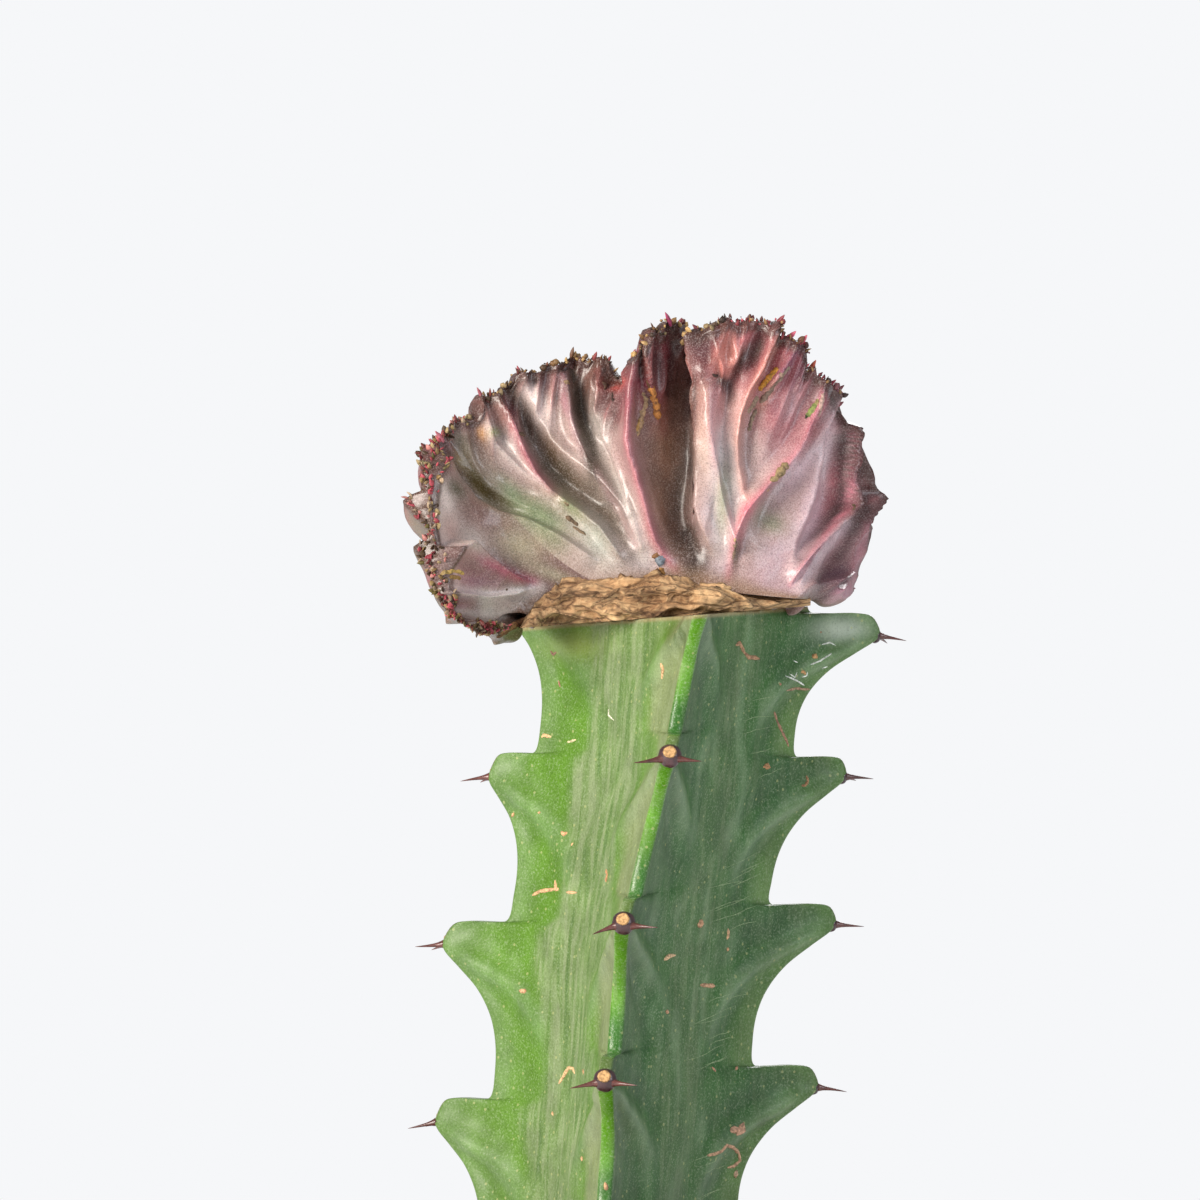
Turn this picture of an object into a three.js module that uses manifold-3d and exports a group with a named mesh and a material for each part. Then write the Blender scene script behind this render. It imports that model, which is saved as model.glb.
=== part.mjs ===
// A potted coral cactus: a crested spurge head grafted onto a three-winged spurge stem, in soil in a clay pot.
// Millimetres, +Z up, the origin at the middle of the pot's underside. The plant is seen from -Y.
import * as THREE from "three";
import { mergeVertices } from "three/addons/utils/BufferGeometryUtils.js";
import Module from "manifold-3d";

const wasm = await Module();
wasm.setup();

// Driving sizes
const GAP = 0.3; // between pieces that touch
const POT_RADIUS = 60; // outside, at the rim
const POT_HEIGHT = 105;
const POT_FOOT_RADIUS = 42;
const POT_WALL = 5.5;
const POT_FLOOR = 8;
const RIM_BAND = 25; // height of the thicker band at the rim
const DRAIN_RADIUS = 7;
const SOIL_TOP = 92;
const STEM_TOP = 237.7; // height of the graft cut where it crosses the pot's axis
const CUT_SLOPE = 0.075; // the cut rises this much per millimetre to the right
const FOOT_END = 56; // the buried end of the stem
const FOOT_RADIUS = 13; // of the round buried foot at its end
const COLLAR_RADIUS = 17.5; // of the round stem where it enters the soil
const ROUND_BELOW = 96; // the stem is round below this height
const WINGED_ABOVE = 116; // and has its full wings above this one
const CORE = 12; // from the stem's axis to the middle of a face
const EDGE_HALF = 1.3; // half the thickness of a wing's edge
const THORN_LENGTH = 5.6;
const LOBE_HANGS_LEFT_OF = -15.5; // left of this x the head's lowest lobe hangs below the graft cut
const HUB = new THREE.Vector3(9.7, 0, 242.5); // where the ribs of the head come together

// Small helpers
const radians = THREE.MathUtils.degToRad;
const lerp = THREE.MathUtils.lerp;
const smoothstep = THREE.MathUtils.smoothstep;

function randomFrom(seed) {
  let state = seed;
  return () => {
    state = (state * 1664525 + 1013904223) % 4294967296;
    return state / 4294967296;
  };
}

// A smooth curve through evenly spaced values, read at place t from 0 to values.length - 1.
function spline(values, t) {
  const last = values.length - 1;
  const i = Math.min(Math.max(Math.floor(t), 0), last - 1);
  const f = Math.min(Math.max(t, 0), last) - i;
  const b = values[i];
  const c = values[i + 1];
  const a = i > 0 ? values[i - 1] : 2 * b - c;
  const d = i + 2 <= last ? values[i + 2] : 2 * c - b;
  return b + 0.5 * f * (c - a + f * (2 * a - 5 * b + 4 * c - d + f * (3 * (b - c) + d - a)));
}

function solidOf(geometry) {
  const bare = geometry.clone();
  bare.deleteAttribute("normal");
  bare.deleteAttribute("uv");
  const merged = mergeVertices(bare, 1e-4);
  const mesh = new wasm.Mesh({
    numProp: 3,
    vertProperties: new Float32Array(merged.attributes.position.array),
    triVerts: new Uint32Array(merged.index.array),
  });
  return new wasm.Manifold(mesh);
}

function largestBody(solid) {
  const bodies = solid.decompose();
  return bodies.reduce((best, body) => (body.volume() > best.volume() ? body : best));
}

function meshOf(solid, name, material) {
  const { vertProperties, triVerts, numProp } = solid.getMesh();
  const positions = new Float32Array((vertProperties.length / numProp) * 3);
  for (let i = 0; i < positions.length / 3; i++) {
    positions.set(vertProperties.subarray(i * numProp, i * numProp + 3), i * 3);
  }
  const geometry = new THREE.BufferGeometry();
  geometry.setAttribute("position", new THREE.BufferAttribute(positions, 3));
  geometry.setIndex(new THREE.BufferAttribute(triVerts, 1));
  geometry.computeVertexNormals();
  const mesh = new THREE.Mesh(geometry, material);
  mesh.name = name;
  return mesh;
}

function geometryFrom(points, faces) {
  const geometry = new THREE.BufferGeometry();
  geometry.setAttribute("position", new THREE.Float32BufferAttribute(points.flatMap((p) => [p.x, p.y, p.z]), 3));
  geometry.setIndex(faces.flat());
  return geometry;
}

// Triangles between two upright columns of vertices, each {index, height}, listed from the top down.
function stitch(left, right, faces) {
  let i = 0;
  let j = 0;
  while (i < left.length - 1 || j < right.length - 1) {
    const leftNext = i < left.length - 1 ? left[i + 1].height : -Infinity;
    const rightNext = j < right.length - 1 ? right[j + 1].height : -Infinity;
    if (leftNext >= rightNext) {
      faces.push([left[i].index, left[i + 1].index, right[j].index]);
      i += 1;
    } else {
      faces.push([left[i].index, right[j + 1].index, right[j].index]);
      j += 1;
    }
  }
}

// The stem. Each wing has a list of tooth tips from the top down: height, and reach from the stem's axis.
const WINGS = [
  { angle: 30, valley: 25.2, sway: [0, 0], tips: [[265, 39], [235.8, 41.4], [210.1, 37.4], [183.1, 40.6], [153.4, 40], [124.6, 38], [98, 30], [70, 28]] },
  { angle: 150, valley: 27.6, sway: [0, 0], tips: [[270, 39], [241.5, 38], [210.1, 37.2], [179.5, 41], [147.1, 39.4], [115.6, 37], [86, 28], [58, 28]] },
  { angle: 270, valley: 27, sway: [-4, -6, -6.5, -5, 0, 5], tips: [[268, 39], [241, 37], [215, 37.4], [185.8, 39.5], [158.3, 39.5], [131, 38.5], [104, 34], [76, 28]] },
];
const SWAY_LOW = 120; // the sway lists run from this height
const SWAY_STEP = 25;
// The outline from one tooth tip down to the next: [fall, lift, fall of the same row at the core], as shares of the pitch.
const TOOTH = [
  [0, 1, 0],
  [0.06, 0.95, 0.1],
  [0.15, 0.7, 0.2],
  [0.27, 0.38, 0.32],
  [0.41, 0.15, 0.45],
  [0.56, 0.03, 0.57],
  [0.72, 0, 0.7],
  [0.868, 0.04, 0.82],
  [0.884, 0.32, 0.87],
  [0.882, 0.65, 0.91],
  [0.905, 0.88, 0.955],
  [1, 1, 1],
];
const UNDER_STEPS = 8; // rows of TOOTH that belong to the tooth above the notch
const LEAN_LOW = 86; // the axis leans right with height: offsets from this height up
const LEAN_STEP = 15.5;
const LEAN = [0, 0.2, 0.8, 1.8, 3.4, 4.6, 6.0, 8.6, 11.2, 13.0, 14.4];

const axisAt = (z) => spline(LEAN, (z - LEAN_LOW) / LEAN_STEP);
const wingAngle = (wing, z) => radians(wing.angle + spline(wing.sway, (z - SWAY_LOW) / SWAY_STEP));
const cutHeight = (x) => STEM_TOP + CUT_SLOPE * x;

// Row of a wing's outline: edge height and reach, and the height of the same row at the core.
function outlineRow(wing, tooth, row) {
  const [z, reach] = wing.tips[tooth];
  const [nextZ, nextReach] = wing.tips[tooth + 1];
  const [fall, lift, coreFall] = TOOTH[row];
  const tip = row < UNDER_STEPS ? reach : nextReach;
  return {
    edge: z - fall * (z - nextZ),
    reach: wing.valley + lift * (tip - wing.valley),
    core: z - coreFall * (z - nextZ),
  };
}

// The wing's outline at one height of the core, by straight steps between its rows.
function outlineAt(wing, coreZ) {
  for (let tooth = 0; tooth < wing.tips.length - 1; tooth++) {
    for (let row = 0; row < TOOTH.length - 1; row++) {
      const a = outlineRow(wing, tooth, row);
      const b = outlineRow(wing, tooth, row + 1);
      if (coreZ <= a.core && coreZ >= b.core) {
        const f = (a.core - coreZ) / Math.max(a.core - b.core, 1e-6);
        return { edge: lerp(a.edge, b.edge, f), reach: lerp(a.reach, b.reach, f) };
      }
    }
  }
  return { edge: coreZ, reach: wing.valley };
}

function footRadius(z) {
  const depth = (ROUND_BELOW - z) / (ROUND_BELOW - FOOT_END);
  return lerp(COLLAR_RADIUS, FOOT_RADIUS, THREE.MathUtils.clamp(depth, 0, 1));
}

// A point of the stem's skin: out runs from 0 at the middle of a face to 1 at the wing's edge, hand is the side of the wing.
function stemPoint(wing, hand, out, coreZ) {
  const outline = outlineAt(wing, coreZ);
  const wings = smoothstep(coreZ, ROUND_BELOW, WINGED_ABOVE);
  const middleOut = CORE * Math.cos(radians(60));
  const middleSide = CORE * Math.sin(radians(60));
  const power = (0.577 * (outline.reach - middleOut)) / (middleSide - EDGE_HALF);
  const along = lerp(middleOut, outline.reach, out);
  const side = EDGE_HALF + (middleSide - EDGE_HALF) * (1 - out) ** power;
  const turn = radians(60) * (1 - out);
  const round = footRadius(coreZ);
  const radial = lerp(round * Math.cos(turn), along, wings);
  const across = lerp(round * Math.sin(turn), side, wings) * hand;
  const z = coreZ + (outline.edge - coreZ) * wings * out ** 1.5;
  const angle = wingAngle(wing, z);
  return new THREE.Vector3(
    axisAt(z) + radial * Math.cos(angle) - across * Math.sin(angle),
    radial * Math.sin(angle) + across * Math.cos(angle),
    z,
  );
}

const OUT_STEPS = [1, 0.9, 0.72, 0.5, 0.25]; // columns from a wing's edge towards the middle of the face
const FACE_ROWS = 14; // rows down the middle of a face

function coreHeights(wing, skip) {
  const heights = [];
  for (let tooth = 0; tooth < wing.tips.length - 1; tooth++) {
    for (let row = 0; row < TOOTH.length - 1; row += skip) {
      heights.push(outlineRow(wing, tooth, row).core);
    }
  }
  const top = 252;
  const kept = heights.filter((z, i) => z < top - 1 && z > FOOT_END + 1 && ((z > ROUND_BELOW && z < 246) || i % 4 === 0));
  return [top, ...kept, FOOT_END];
}

function stemBody() {
  const points = [];
  const column = (heights, place) =>
    heights.map((height) => {
      points.push(place(height));
      return { index: points.length - 1, height };
    });
  const faceHeights = Array.from({ length: FACE_ROWS + 1 }, (_, i) => lerp(252, FOOT_END, i / FACE_ROWS));
  const columns = [];
  WINGS.forEach((wing, k) => {
    const rim = coreHeights(wing, 1);
    const inner = coreHeights(wing, 2);
    const outwards = OUT_STEPS.slice(1).reverse();
    const next = WINGS[(k + 1) % WINGS.length];
    outwards.forEach((out, n) => columns.push(column(n < 2 ? inner : rim, (z) => stemPoint(wing, -1, out, z))));
    columns.push(column(rim, (z) => stemPoint(wing, -1, 1, z)));
    columns.push(column(rim, (z) => stemPoint(wing, 1, 1, z)));
    OUT_STEPS.slice(1).forEach((out, n) => columns.push(column(n > 1 ? inner : rim, (z) => stemPoint(wing, 1, out, z))));
    columns.push(
      column(faceHeights, (z) => stemPoint(wing, 1, 0, z).lerp(stemPoint(next, -1, 0, z), 0.5)),
    );
  });
  const faces = [];
  columns.forEach((one, k) => stitch(one, columns[(k + 1) % columns.length], faces));
  const top = points.push(new THREE.Vector3(axisAt(252), 0, 252)) - 1;
  const foot = points.push(new THREE.Vector3(0, 0, FOOT_END)) - 1;
  columns.forEach((one, k) => {
    const other = columns[(k + 1) % columns.length];
    faces.push([top, one[0].index, other[0].index]);
    faces.push([foot, other[other.length - 1].index, one[one.length - 1].index]);
  });
  return solidOf(geometryFrom(points, faces));
}

// A thorn shield on a tooth tip, with its pair of thorns spread to the two sides.
function thorns(wing, [z, reach]) {
  const frame = new THREE.Matrix4()
    .makeTranslation(axisAt(z), 0, z)
    .multiply(new THREE.Matrix4().makeRotationZ(wingAngle(wing, z)));
  const shield = new THREE.SphereGeometry(1, 7, 4).scale(1.6, 2.2, 2.3).translate(reach - 0.4, 0, -0.6);
  const parts = [shield];
  for (const hand of [-1, 1]) {
    const direction = new THREE.Vector3(0.6, 0.75 * hand, -0.28).normalize();
    const thorn = new THREE.ConeGeometry(0.8, THORN_LENGTH + 1.5, 4, 1)
      .translate(0, THORN_LENGTH / 2, 0)
      .applyQuaternion(new THREE.Quaternion().setFromUnitVectors(new THREE.Vector3(0, 1, 0), direction))
      .translate(reach, hand * 0.7, -1);
    parts.push(thorn);
  }
  return parts.map((part) => solidOf(part.applyMatrix4(frame)));
}

// A block to cut with, above the graft cut (side 1) or below it (side -1), shifted by a gap, from one x to the right.
function cutBlock(side, shift, fromX) {
  const block = new THREE.BoxGeometry(160, 200, 80)
    .translate(80 + fromX, 0, 40 * side)
    .applyMatrix4(new THREE.Matrix4().makeRotationY(-Math.atan(CUT_SLOPE)))
    .translate(0, 0, STEM_TOP + shift);
  return solidOf(block);
}

function stem() {
  let body = stemBody();
  for (const wing of WINGS) {
    for (const tip of wing.tips) {
      if (tip[0] < 238 && tip[0] > 100) {
        for (const part of thorns(wing, tip)) body = body.add(part);
      }
    }
  }
  return largestBody(body.subtract(cutBlock(1, 0, -80)));
}

// The head is a folded fan. Its growing edge runs from low left over the top to low right, in even numbered stations.
// [x, y, z] of each station from the hub: y is the depth of the folds, away from the viewer.
const EDGE = [
  [-25, -6, -5], [-29.7, -13, -6.4], [-32.6, -17, -6.4], [-36.5, -19, -3.6], [-38.6, -18.5, 0.4], [-40, -18, 7.2],
  [-41.2, -17.5, 14.4], [-41.6, -15, 21.6], [-40, -10, 25.9], [-36, -5.5, 29.3], [-31.7, -1.5, 34.7], [-26.1, 2, 38.7],
  [-20.7, 4.5, 40.9], [-14.4, 5.5, 42.3], [-9.9, 4, 41.6], [-5.8, 0, 39.4], [-3.4, -8, 43.8], [1.8, -1, 47.7],
  [5.7, 6.5, 48.6], [5.6, -4.5, 45.4], [9.4, -8, 46.6], [15.3, -6, 49.1], [21.4, -4, 49.3], [25.7, -2, 45.7],
  [27.4, 1, 40.7], [31, 5, 36.8], [33, 9.5, 30.6], [36, 14, 21], [37, 17, 16.2], [36.5, 18.5, 11.7],
  [35.4, 19, 5.4], [34, 18, 0.9], [28.6, 13, -1.4],
];
const FOOT = [[-24.5, -5.4], [-17.5, -0.4], [-8, 0.6], [-1, 1.2], [4, 1.2], [10, 0.6], [18, -0.2], [26.5, -0.8]]; // [x, z]
const LAST = EDGE.length - 1;
const FOLD_POWER = 1.8; // how late between foot and edge the folds swing out
// How far the ribs bow to the lower left between foot and edge, in even steps along the edge.
const BOWS = [0, 2.5, 4.8, 6.4, 3.4, 2.4, 3, 2.2, 0];
const FOOT_HALF = 6.6; // half the head's thickness at its foot
const EDGE_THICK_HALF = 1.4;
const RIB_POWER = 2; // above 1 the ribs are sharp and the furrows round
const RIB_REACH = 0.5; // a rib of 1 mm pushes the growing edge out by this much
// Ribs of the front face: station along the edge, rise, reach of its flanks in stations, where it starts from the foot.
const FRONT_RIBS = [
  [0.9, 0.9, 0.6, 0.5], [2.4, 2.4, 1.8, 0.2], [3.4, 1, 0.7, 0.5], [4.1, 0.8, 0.5, 0.6], [5.1, 4.6, 1.5, 0.3],
  [7.5, 2.6, 1, 0.55], [8.2, 1, 0.5, 0.7], [8.9, 2.2, 1, 0.1], [9.6, 1, 0.5, 0.65], [10.2, 1.4, 0.6, 0.6],
  [10.9, 4, 1.4, 0.02], [11.7, 2, 0.7, 0.5], [12.5, 3.2, 1, 0.15], [13.4, 2.2, 0.8, 0.1], [14.1, 1.6, 0.6, 0.6],
  [14.9, 1.4, 0.6, 0.65], [16, 4.8, 1.5, 0], [17, 1, 0.5, 0.8], [17.9, 1, 0.5, 0.8], [19.05, 4.6, 1.1, 0],
  [19.9, 1.8, 0.7, 0.5], [20.6, 1.4, 0.6, 0.7], [21.3, 2.6, 1, 0.25], [22.1, 1.4, 0.6, 0.6], [23, 2.2, 0.8, 0.6],
  [24.2, 4.2, 1.5, 0], [24.9, 1, 0.5, 0.6], [25.5, 3, 0.8, 0.2], [26.2, 3, 0.7, 0.3], [26.9, 2.4, 0.6, 0.4],
  [27.7, 3.4, 1, 0.1], [28.6, 1.6, 0.6, 0.5], [29.3, 2.6, 0.9, 0.15], [30.2, 1.4, 0.6, 0.5], [31, 2.6, 0.9, 0.2],
];
const BACK_COUNT = 20;
const BACK_RISE = 3.8;
// Tubercles on the ribs: station, place from foot to edge, rise.
const FRONT_TUBERCLES = [
  [5.1, 0.7, 1.8], [7.5, 0.86, 1.4], [10.9, 0.5, 1.3], [10.9, 0.84, 1.4], [12.5, 0.9, 1.2], [16, 0.3, 1.3], [16, 0.62, 1],
  [19.9, 0.8, 2.2], [21.3, 0.66, 1.2], [24.2, 0.26, 1.6], [25.5, 0.62, 1.8], [26.2, 0.7, 2], [27.7, 0.8, 1.4],
  [29.3, 0.66, 1.4], [31, 0.8, 1.6],
];

function backRibs() {
  const random = randomFrom(7);
  const ribs = [];
  for (let i = 1; i < BACK_COUNT; i++) {
    const main = i % 2;
    const at = ((i + 0.35 * (random() - 0.5)) / BACK_COUNT) * LAST;
    const rise = BACK_RISE * (0.35 + 0.35 * main + 0.4 * random()) * smoothstep(at, 1, 7);
    ribs.push([at, rise, 1 + 0.8 * main, main ? 0.05 : 0.45]);
  }
  return ribs;
}

function backTubercles(ribs) {
  const random = randomFrom(19);
  return ribs.map(([at]) => [at, 0.45 + 0.45 * random(), 1 + 1.4 * random()]);
}

const BACK_RIBS = backRibs();
const BACK_TUBERCLES = backTubercles(BACK_RIBS);

// Rise of the ribs at one place: sharp at a rib, round in a furrow.
function ribsAt(ribs, at, v) {
  let total = 0;
  for (const [station, rise, flank, start] of ribs) {
    const near = 1 - Math.abs(at - station) / flank;
    if (near > 0) total += rise * near ** RIB_POWER * smoothstep(v, start, start + 0.45);
  }
  return total;
}

function relief(side, at, v) {
  const ribs = side > 0 ? FRONT_RIBS : BACK_RIBS;
  const tubercles = side > 0 ? FRONT_TUBERCLES : BACK_TUBERCLES;
  let total = ribsAt(ribs, at, v) * (1 - 0.35 * smoothstep(v, 0.85, 1));
  for (const [station, along, height] of tubercles) {
    total += height * Math.exp(-(((at - station) / 0.3) ** 2) - ((v - along) / 0.07) ** 2);
  }
  return total;
}

const column = (table, k) => table.map((row) => row[k]);
const EDGE_COLUMNS = [0, 1, 2].map((k) => column(EDGE, k));
const FOOT_COLUMNS = [0, 1].map((k) => column(FOOT, k));

// The middle of the folded sheet at a station, v from 0 at the foot to 1 at the growing edge.
function fanMiddle(at, v) {
  const foot = (at / LAST) * (FOOT.length - 1);
  const bow = spline(BOWS, (at / LAST) * (BOWS.length - 1)) * Math.sin(Math.PI * v ** 1.2);
  const reach = 1 + (0.02 * RIB_REACH * ribsAt(FRONT_RIBS, at, 1) - 0.045) * v ** 6;
  return new THREE.Vector3(
    lerp(spline(FOOT_COLUMNS[0], foot), spline(EDGE_COLUMNS[0], at), v * reach) - 0.88 * bow,
    spline(EDGE_COLUMNS[1], at) * v ** FOLD_POWER,
    lerp(spline(FOOT_COLUMNS[1], foot), spline(EDGE_COLUMNS[2], at), v * reach) - 0.47 * bow,
  );
}

// Towards the front, across the sheet. Near the foot it is straight forward.
function fanNormal(at, v) {
  const step = 1.2;
  const place = Math.max(v, 0.1);
  const along = fanMiddle(Math.min(at + step, LAST), place).sub(fanMiddle(Math.max(at - step, 0), place));
  const outward = fanMiddle(at, place + 0.05).sub(fanMiddle(at, place - 0.05));
  const normal = along.cross(outward).normalize();
  return new THREE.Vector3(0, -1, 0).lerp(normal, smoothstep(v, 0, 0.45)).normalize();
}

const sheetOutward = (at) => fanMiddle(at, 1).sub(fanMiddle(at, 0.92)).normalize();

// A point of the head's skin, side -1 at the back and 1 at the front, grown outwards by extra.
function crestPoint(at, v, side, extra) {
  const ends = 0.35 + 0.65 * smoothstep(Math.min(at, LAST - at), 0, 1.6);
  const half = EDGE_THICK_HALF + (FOOT_HALF - EDGE_THICK_HALF) * (1 - v ** 1.4);
  const thick = (half + relief(side, at, v)) * ends + extra;
  return fanMiddle(at, v).addScaledVector(fanNormal(at, v), thick * side).add(HUB);
}

const CREST_V = [0, 0.14, 0.28, 0.42, 0.56, 0.68, 0.79, 0.9, 1];

function crestStations() {
  const places = [0, LAST];
  for (const ribs of [FRONT_RIBS, BACK_RIBS]) {
    ribs.forEach(([at], i) => {
      places.push(at);
      if (i > 0 && at - ribs[i - 1][0] > 0.8) places.push((at + ribs[i - 1][0]) / 2);
    });
  }
  places.sort((a, b) => a - b);
  return places.filter((at, i) => i === 0 || at - places[i - 1] > 0.12);
}

// The bare head: a ring of points round the fan's section at each station along the growing edge.
function crestBody(extra) {
  const points = [];
  const rings = [];
  for (const at of crestStations()) {
    const front = CREST_V.map((v) => crestPoint(at, v, 1, extra));
    const back = CREST_V.map((v) => crestPoint(at, v, -1, extra)).reverse();
    const cap = fanMiddle(at, 1).addScaledVector(sheetOutward(at), 1.2 + extra).add(HUB);
    const ring = [...front, cap, ...back];
    if (at === 0 || at === LAST) {
      const inner = Math.abs(at - 0.5);
      ring.forEach((p, k) => {
        const v = CREST_V[Math.min(k, ring.length - 1 - k, CREST_V.length - 1)];
        p.addScaledVector(fanMiddle(at, v).sub(fanMiddle(inner, v)).normalize(), 2 * extra);
      });
    }
    ring[0].z -= extra;
    ring[ring.length - 1].z -= extra;
    rings.push(ring.map((p) => points.push(p) - 1));
  }
  const faces = [];
  for (let i = 0; i < rings.length - 1; i++) {
    const a = rings[i];
    const b = rings[i + 1];
    a.forEach((_, k) => {
      const next = (k + 1) % a.length;
      faces.push([a[k], b[k], b[next]], [a[k], b[next], a[next]]);
    });
  }
  for (const [ring, turned] of [[rings[0], false], [rings[rings.length - 1], true]]) {
    const half = ring.length / 2;
    for (let k = 0; k < Math.floor(half); k++) {
      const far = ring.length - 1 - k;
      if (far - 1 <= k + 1) {
        faces.push(turned ? [ring[k], ring[far], ring[k + 1]] : [ring[k], ring[k + 1], ring[far]]);
        break;
      }
      const quads = [[ring[k], ring[k + 1], ring[far]], [ring[k + 1], ring[far - 1], ring[far]]];
      quads.forEach((f) => faces.push(turned ? [f[0], f[2], f[1]] : f));
    }
  }
  const solid = solidOf(geometryFrom(points, faces));
  if (solid.volume() < 0) throw new Error("the head is inside out");
  return solid;
}

// Small buds and dry leaflets along the growing edge, sunk into it.
const BUD_COUNT = 90;

function buds() {
  const random = randomFrom(34);
  const made = [];
  for (let i = 0; i < BUD_COUNT; i++) {
    const at = 0.7 + ((i + 0.2 + 0.6 * random()) / BUD_COUNT) * (LAST - 1.4);
    const outward = sheetOutward(at);
    const aside = fanNormal(at, 1).multiplyScalar(2.4 * (random() - 0.5));
    const size = 0.9 + 0.9 * random() ** 2;
    const bud = new THREE.OctahedronGeometry(1, 0)
      .scale(size, size, size * (1.2 + 0.8 * random()))
      .applyMatrix4(new THREE.Matrix4().makeRotationFromEuler(new THREE.Euler(random(), random(), 6 * random())))
      .applyQuaternion(new THREE.Quaternion().setFromUnitVectors(new THREE.Vector3(0, 0, 1), outward));
    const root = fanMiddle(at, 1).addScaledVector(outward, 1 + 0.5 * random()).add(aside).add(HUB);
    made.push(solidOf(bud.translate(root.x, root.y, root.z)));
  }
  return made;
}

function crest() {
  let head = crestBody(0);
  for (const bud of buds()) head = head.add(bud);
  return largestBody(head.subtract(cutBlock(-1, GAP, LOBE_HANGS_LEFT_OF)));
}

// The corky callus between the cut stem and the head, lumpy, with the head's foot sunk in it.
const CALLUS = { middle: [2.2, 0, -1.6], half: [23, 10.4, 5.6], lump: 0.16 };

function callus() {
  const pad = new THREE.SphereGeometry(1, 30, 12);
  const position = pad.attributes.position;
  for (let i = 0; i < position.count; i++) {
    const p = new THREE.Vector3().fromBufferAttribute(position, i);
    const lumps = Math.sin(7 * p.x + 2 * p.z) * Math.cos(5 * p.y - 3 * p.x) + 0.6 * Math.sin(13 * p.x - 4 * p.y);
    const grown = 1 + CALLUS.lump * lumps * (1 - Math.abs(p.z)) * (1 - p.x ** 4);
    const [hx, hy, hz] = CALLUS.half;
    const [mx, my, mz] = CALLUS.middle;
    position.setXYZ(i, mx + p.x * hx, my + p.y * hy * grown, mz + p.z * hz * grown);
  }
  pad.translate(HUB.x, HUB.y, HUB.z);
  const slit = new THREE.SphereGeometry(1, 16, 8).scale(5, 60, 1.4).translate(-3.5, 0, cutHeight(-3.5) + 0.2);
  const trimmed = solidOf(pad).subtract(cutBlock(-1, GAP, -80)).subtract(solidOf(slit));
  return largestBody(trimmed.subtract(crestBody(GAP)));
}

// The pot, its wall drawn once from the drain hole round to the drain hole.
function potInside(z) {
  return lerp(POT_FOOT_RADIUS - POT_WALL, POT_RADIUS - POT_WALL - 1, z / POT_HEIGHT);
}

function pot() {
  const band = POT_HEIGHT - RIM_BAND;
  const underBand = lerp(POT_FOOT_RADIUS, POT_RADIUS, band / POT_HEIGHT) - 2.5;
  const profile = [
    [DRAIN_RADIUS, 0], [POT_FOOT_RADIUS - 1.5, 0], [POT_FOOT_RADIUS, 1.5], [underBand, band - 1],
    [POT_RADIUS - 3.5, band], [POT_RADIUS - 2.5, band + 1.2], [POT_RADIUS, POT_HEIGHT - 3],
    [POT_RADIUS - 0.9, POT_HEIGHT - 0.9], [POT_RADIUS - 3, POT_HEIGHT], [potInside(POT_HEIGHT) + 0.8, POT_HEIGHT - 0.9],
    [potInside(POT_HEIGHT), POT_HEIGHT - 3], [potInside(POT_FLOOR), POT_FLOOR], [DRAIN_RADIUS, POT_FLOOR], [DRAIN_RADIUS, 0],
  ];
  const wall = new THREE.LatheGeometry(profile.map(([r, z]) => new THREE.Vector2(r, z)), 48);
  return solidOf(wall.rotateX(Math.PI / 2));
}

// The soil: a plug that fills the pot, with a crumbly top and a plain hole for the stem's round foot.
function soil() {
  const rings = 9;
  const sides = 48;
  const random = randomFrom(5);
  const top = [];
  for (let k = 0; k < rings; k++) top.push(Array.from({ length: sides }, () => random() - 0.5));
  const profile = [new THREE.Vector2(0, POT_FLOOR + GAP), new THREE.Vector2(potInside(POT_FLOOR) - GAP, POT_FLOOR + GAP)];
  const outer = potInside(SOIL_TOP) - GAP;
  for (let k = 0; k < rings; k++) profile.push(new THREE.Vector2(outer * (1 - k / rings), SOIL_TOP));
  profile.push(new THREE.Vector2(0, SOIL_TOP));
  const plug = new THREE.LatheGeometry(profile, sides).rotateX(Math.PI / 2);
  const position = plug.attributes.position;
  const perSide = profile.length;
  for (let i = 0; i < position.count; i++) {
    const k = (i % perSide) - 2;
    const side = Math.floor(i / perSide) % sides;
    if (k < 1 || k >= rings) continue;
    const mound = 2.4 * (1 - k / rings) * (k / rings) * 4 * 0.5;
    position.setZ(i, position.getZ(i) + mound + 2.2 * top[k][side]);
  }
  const hole = new THREE.CylinderGeometry(
    COLLAR_RADIUS + GAP, FOOT_RADIUS + GAP, ROUND_BELOW - FOOT_END + GAP, 36,
  ).rotateX(Math.PI / 2).translate(0, 0, (ROUND_BELOW + FOOT_END - GAP) / 2);
  const above = new THREE.CylinderGeometry(COLLAR_RADIUS + 6, COLLAR_RADIUS + GAP, 20, 36)
    .rotateX(Math.PI / 2).translate(0, 0, ROUND_BELOW + 10);
  return largestBody(solidOf(plug).subtract(solidOf(hole)).subtract(solidOf(above)));
}

const clay = new THREE.MeshStandardMaterial({ color: 0xb9694a, roughness: 0.85, metalness: 0 });
const earth = new THREE.MeshStandardMaterial({ color: 0x3b2a20, roughness: 1, metalness: 0 });
const greenSkin = new THREE.MeshStandardMaterial({ color: 0x5d8a45, roughness: 0.5, metalness: 0 });
const cork = new THREE.MeshStandardMaterial({ color: 0xa87a4c, roughness: 0.9, metalness: 0 });
const pinkSkin = new THREE.MeshStandardMaterial({ color: 0xb08f8c, roughness: 0.5, metalness: 0 });

const plant = new THREE.Group();
plant.add(
  meshOf(pot(), "pot", clay),
  meshOf(soil(), "soil", earth),
  meshOf(stem(), "stem", greenSkin),
  meshOf(callus(), "graft_callus", cork),
  meshOf(crest(), "crest", pinkSkin),
);

export default plant;
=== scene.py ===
"""The looks of a potted coral cactus.

A crested spurge head, grafted onto a three-winged spurge stem, stands in a clay pot.

Sizes in the tables are millimetres, as in the part's own source. Meshes are made in metres.
"""

import math
import random

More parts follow.
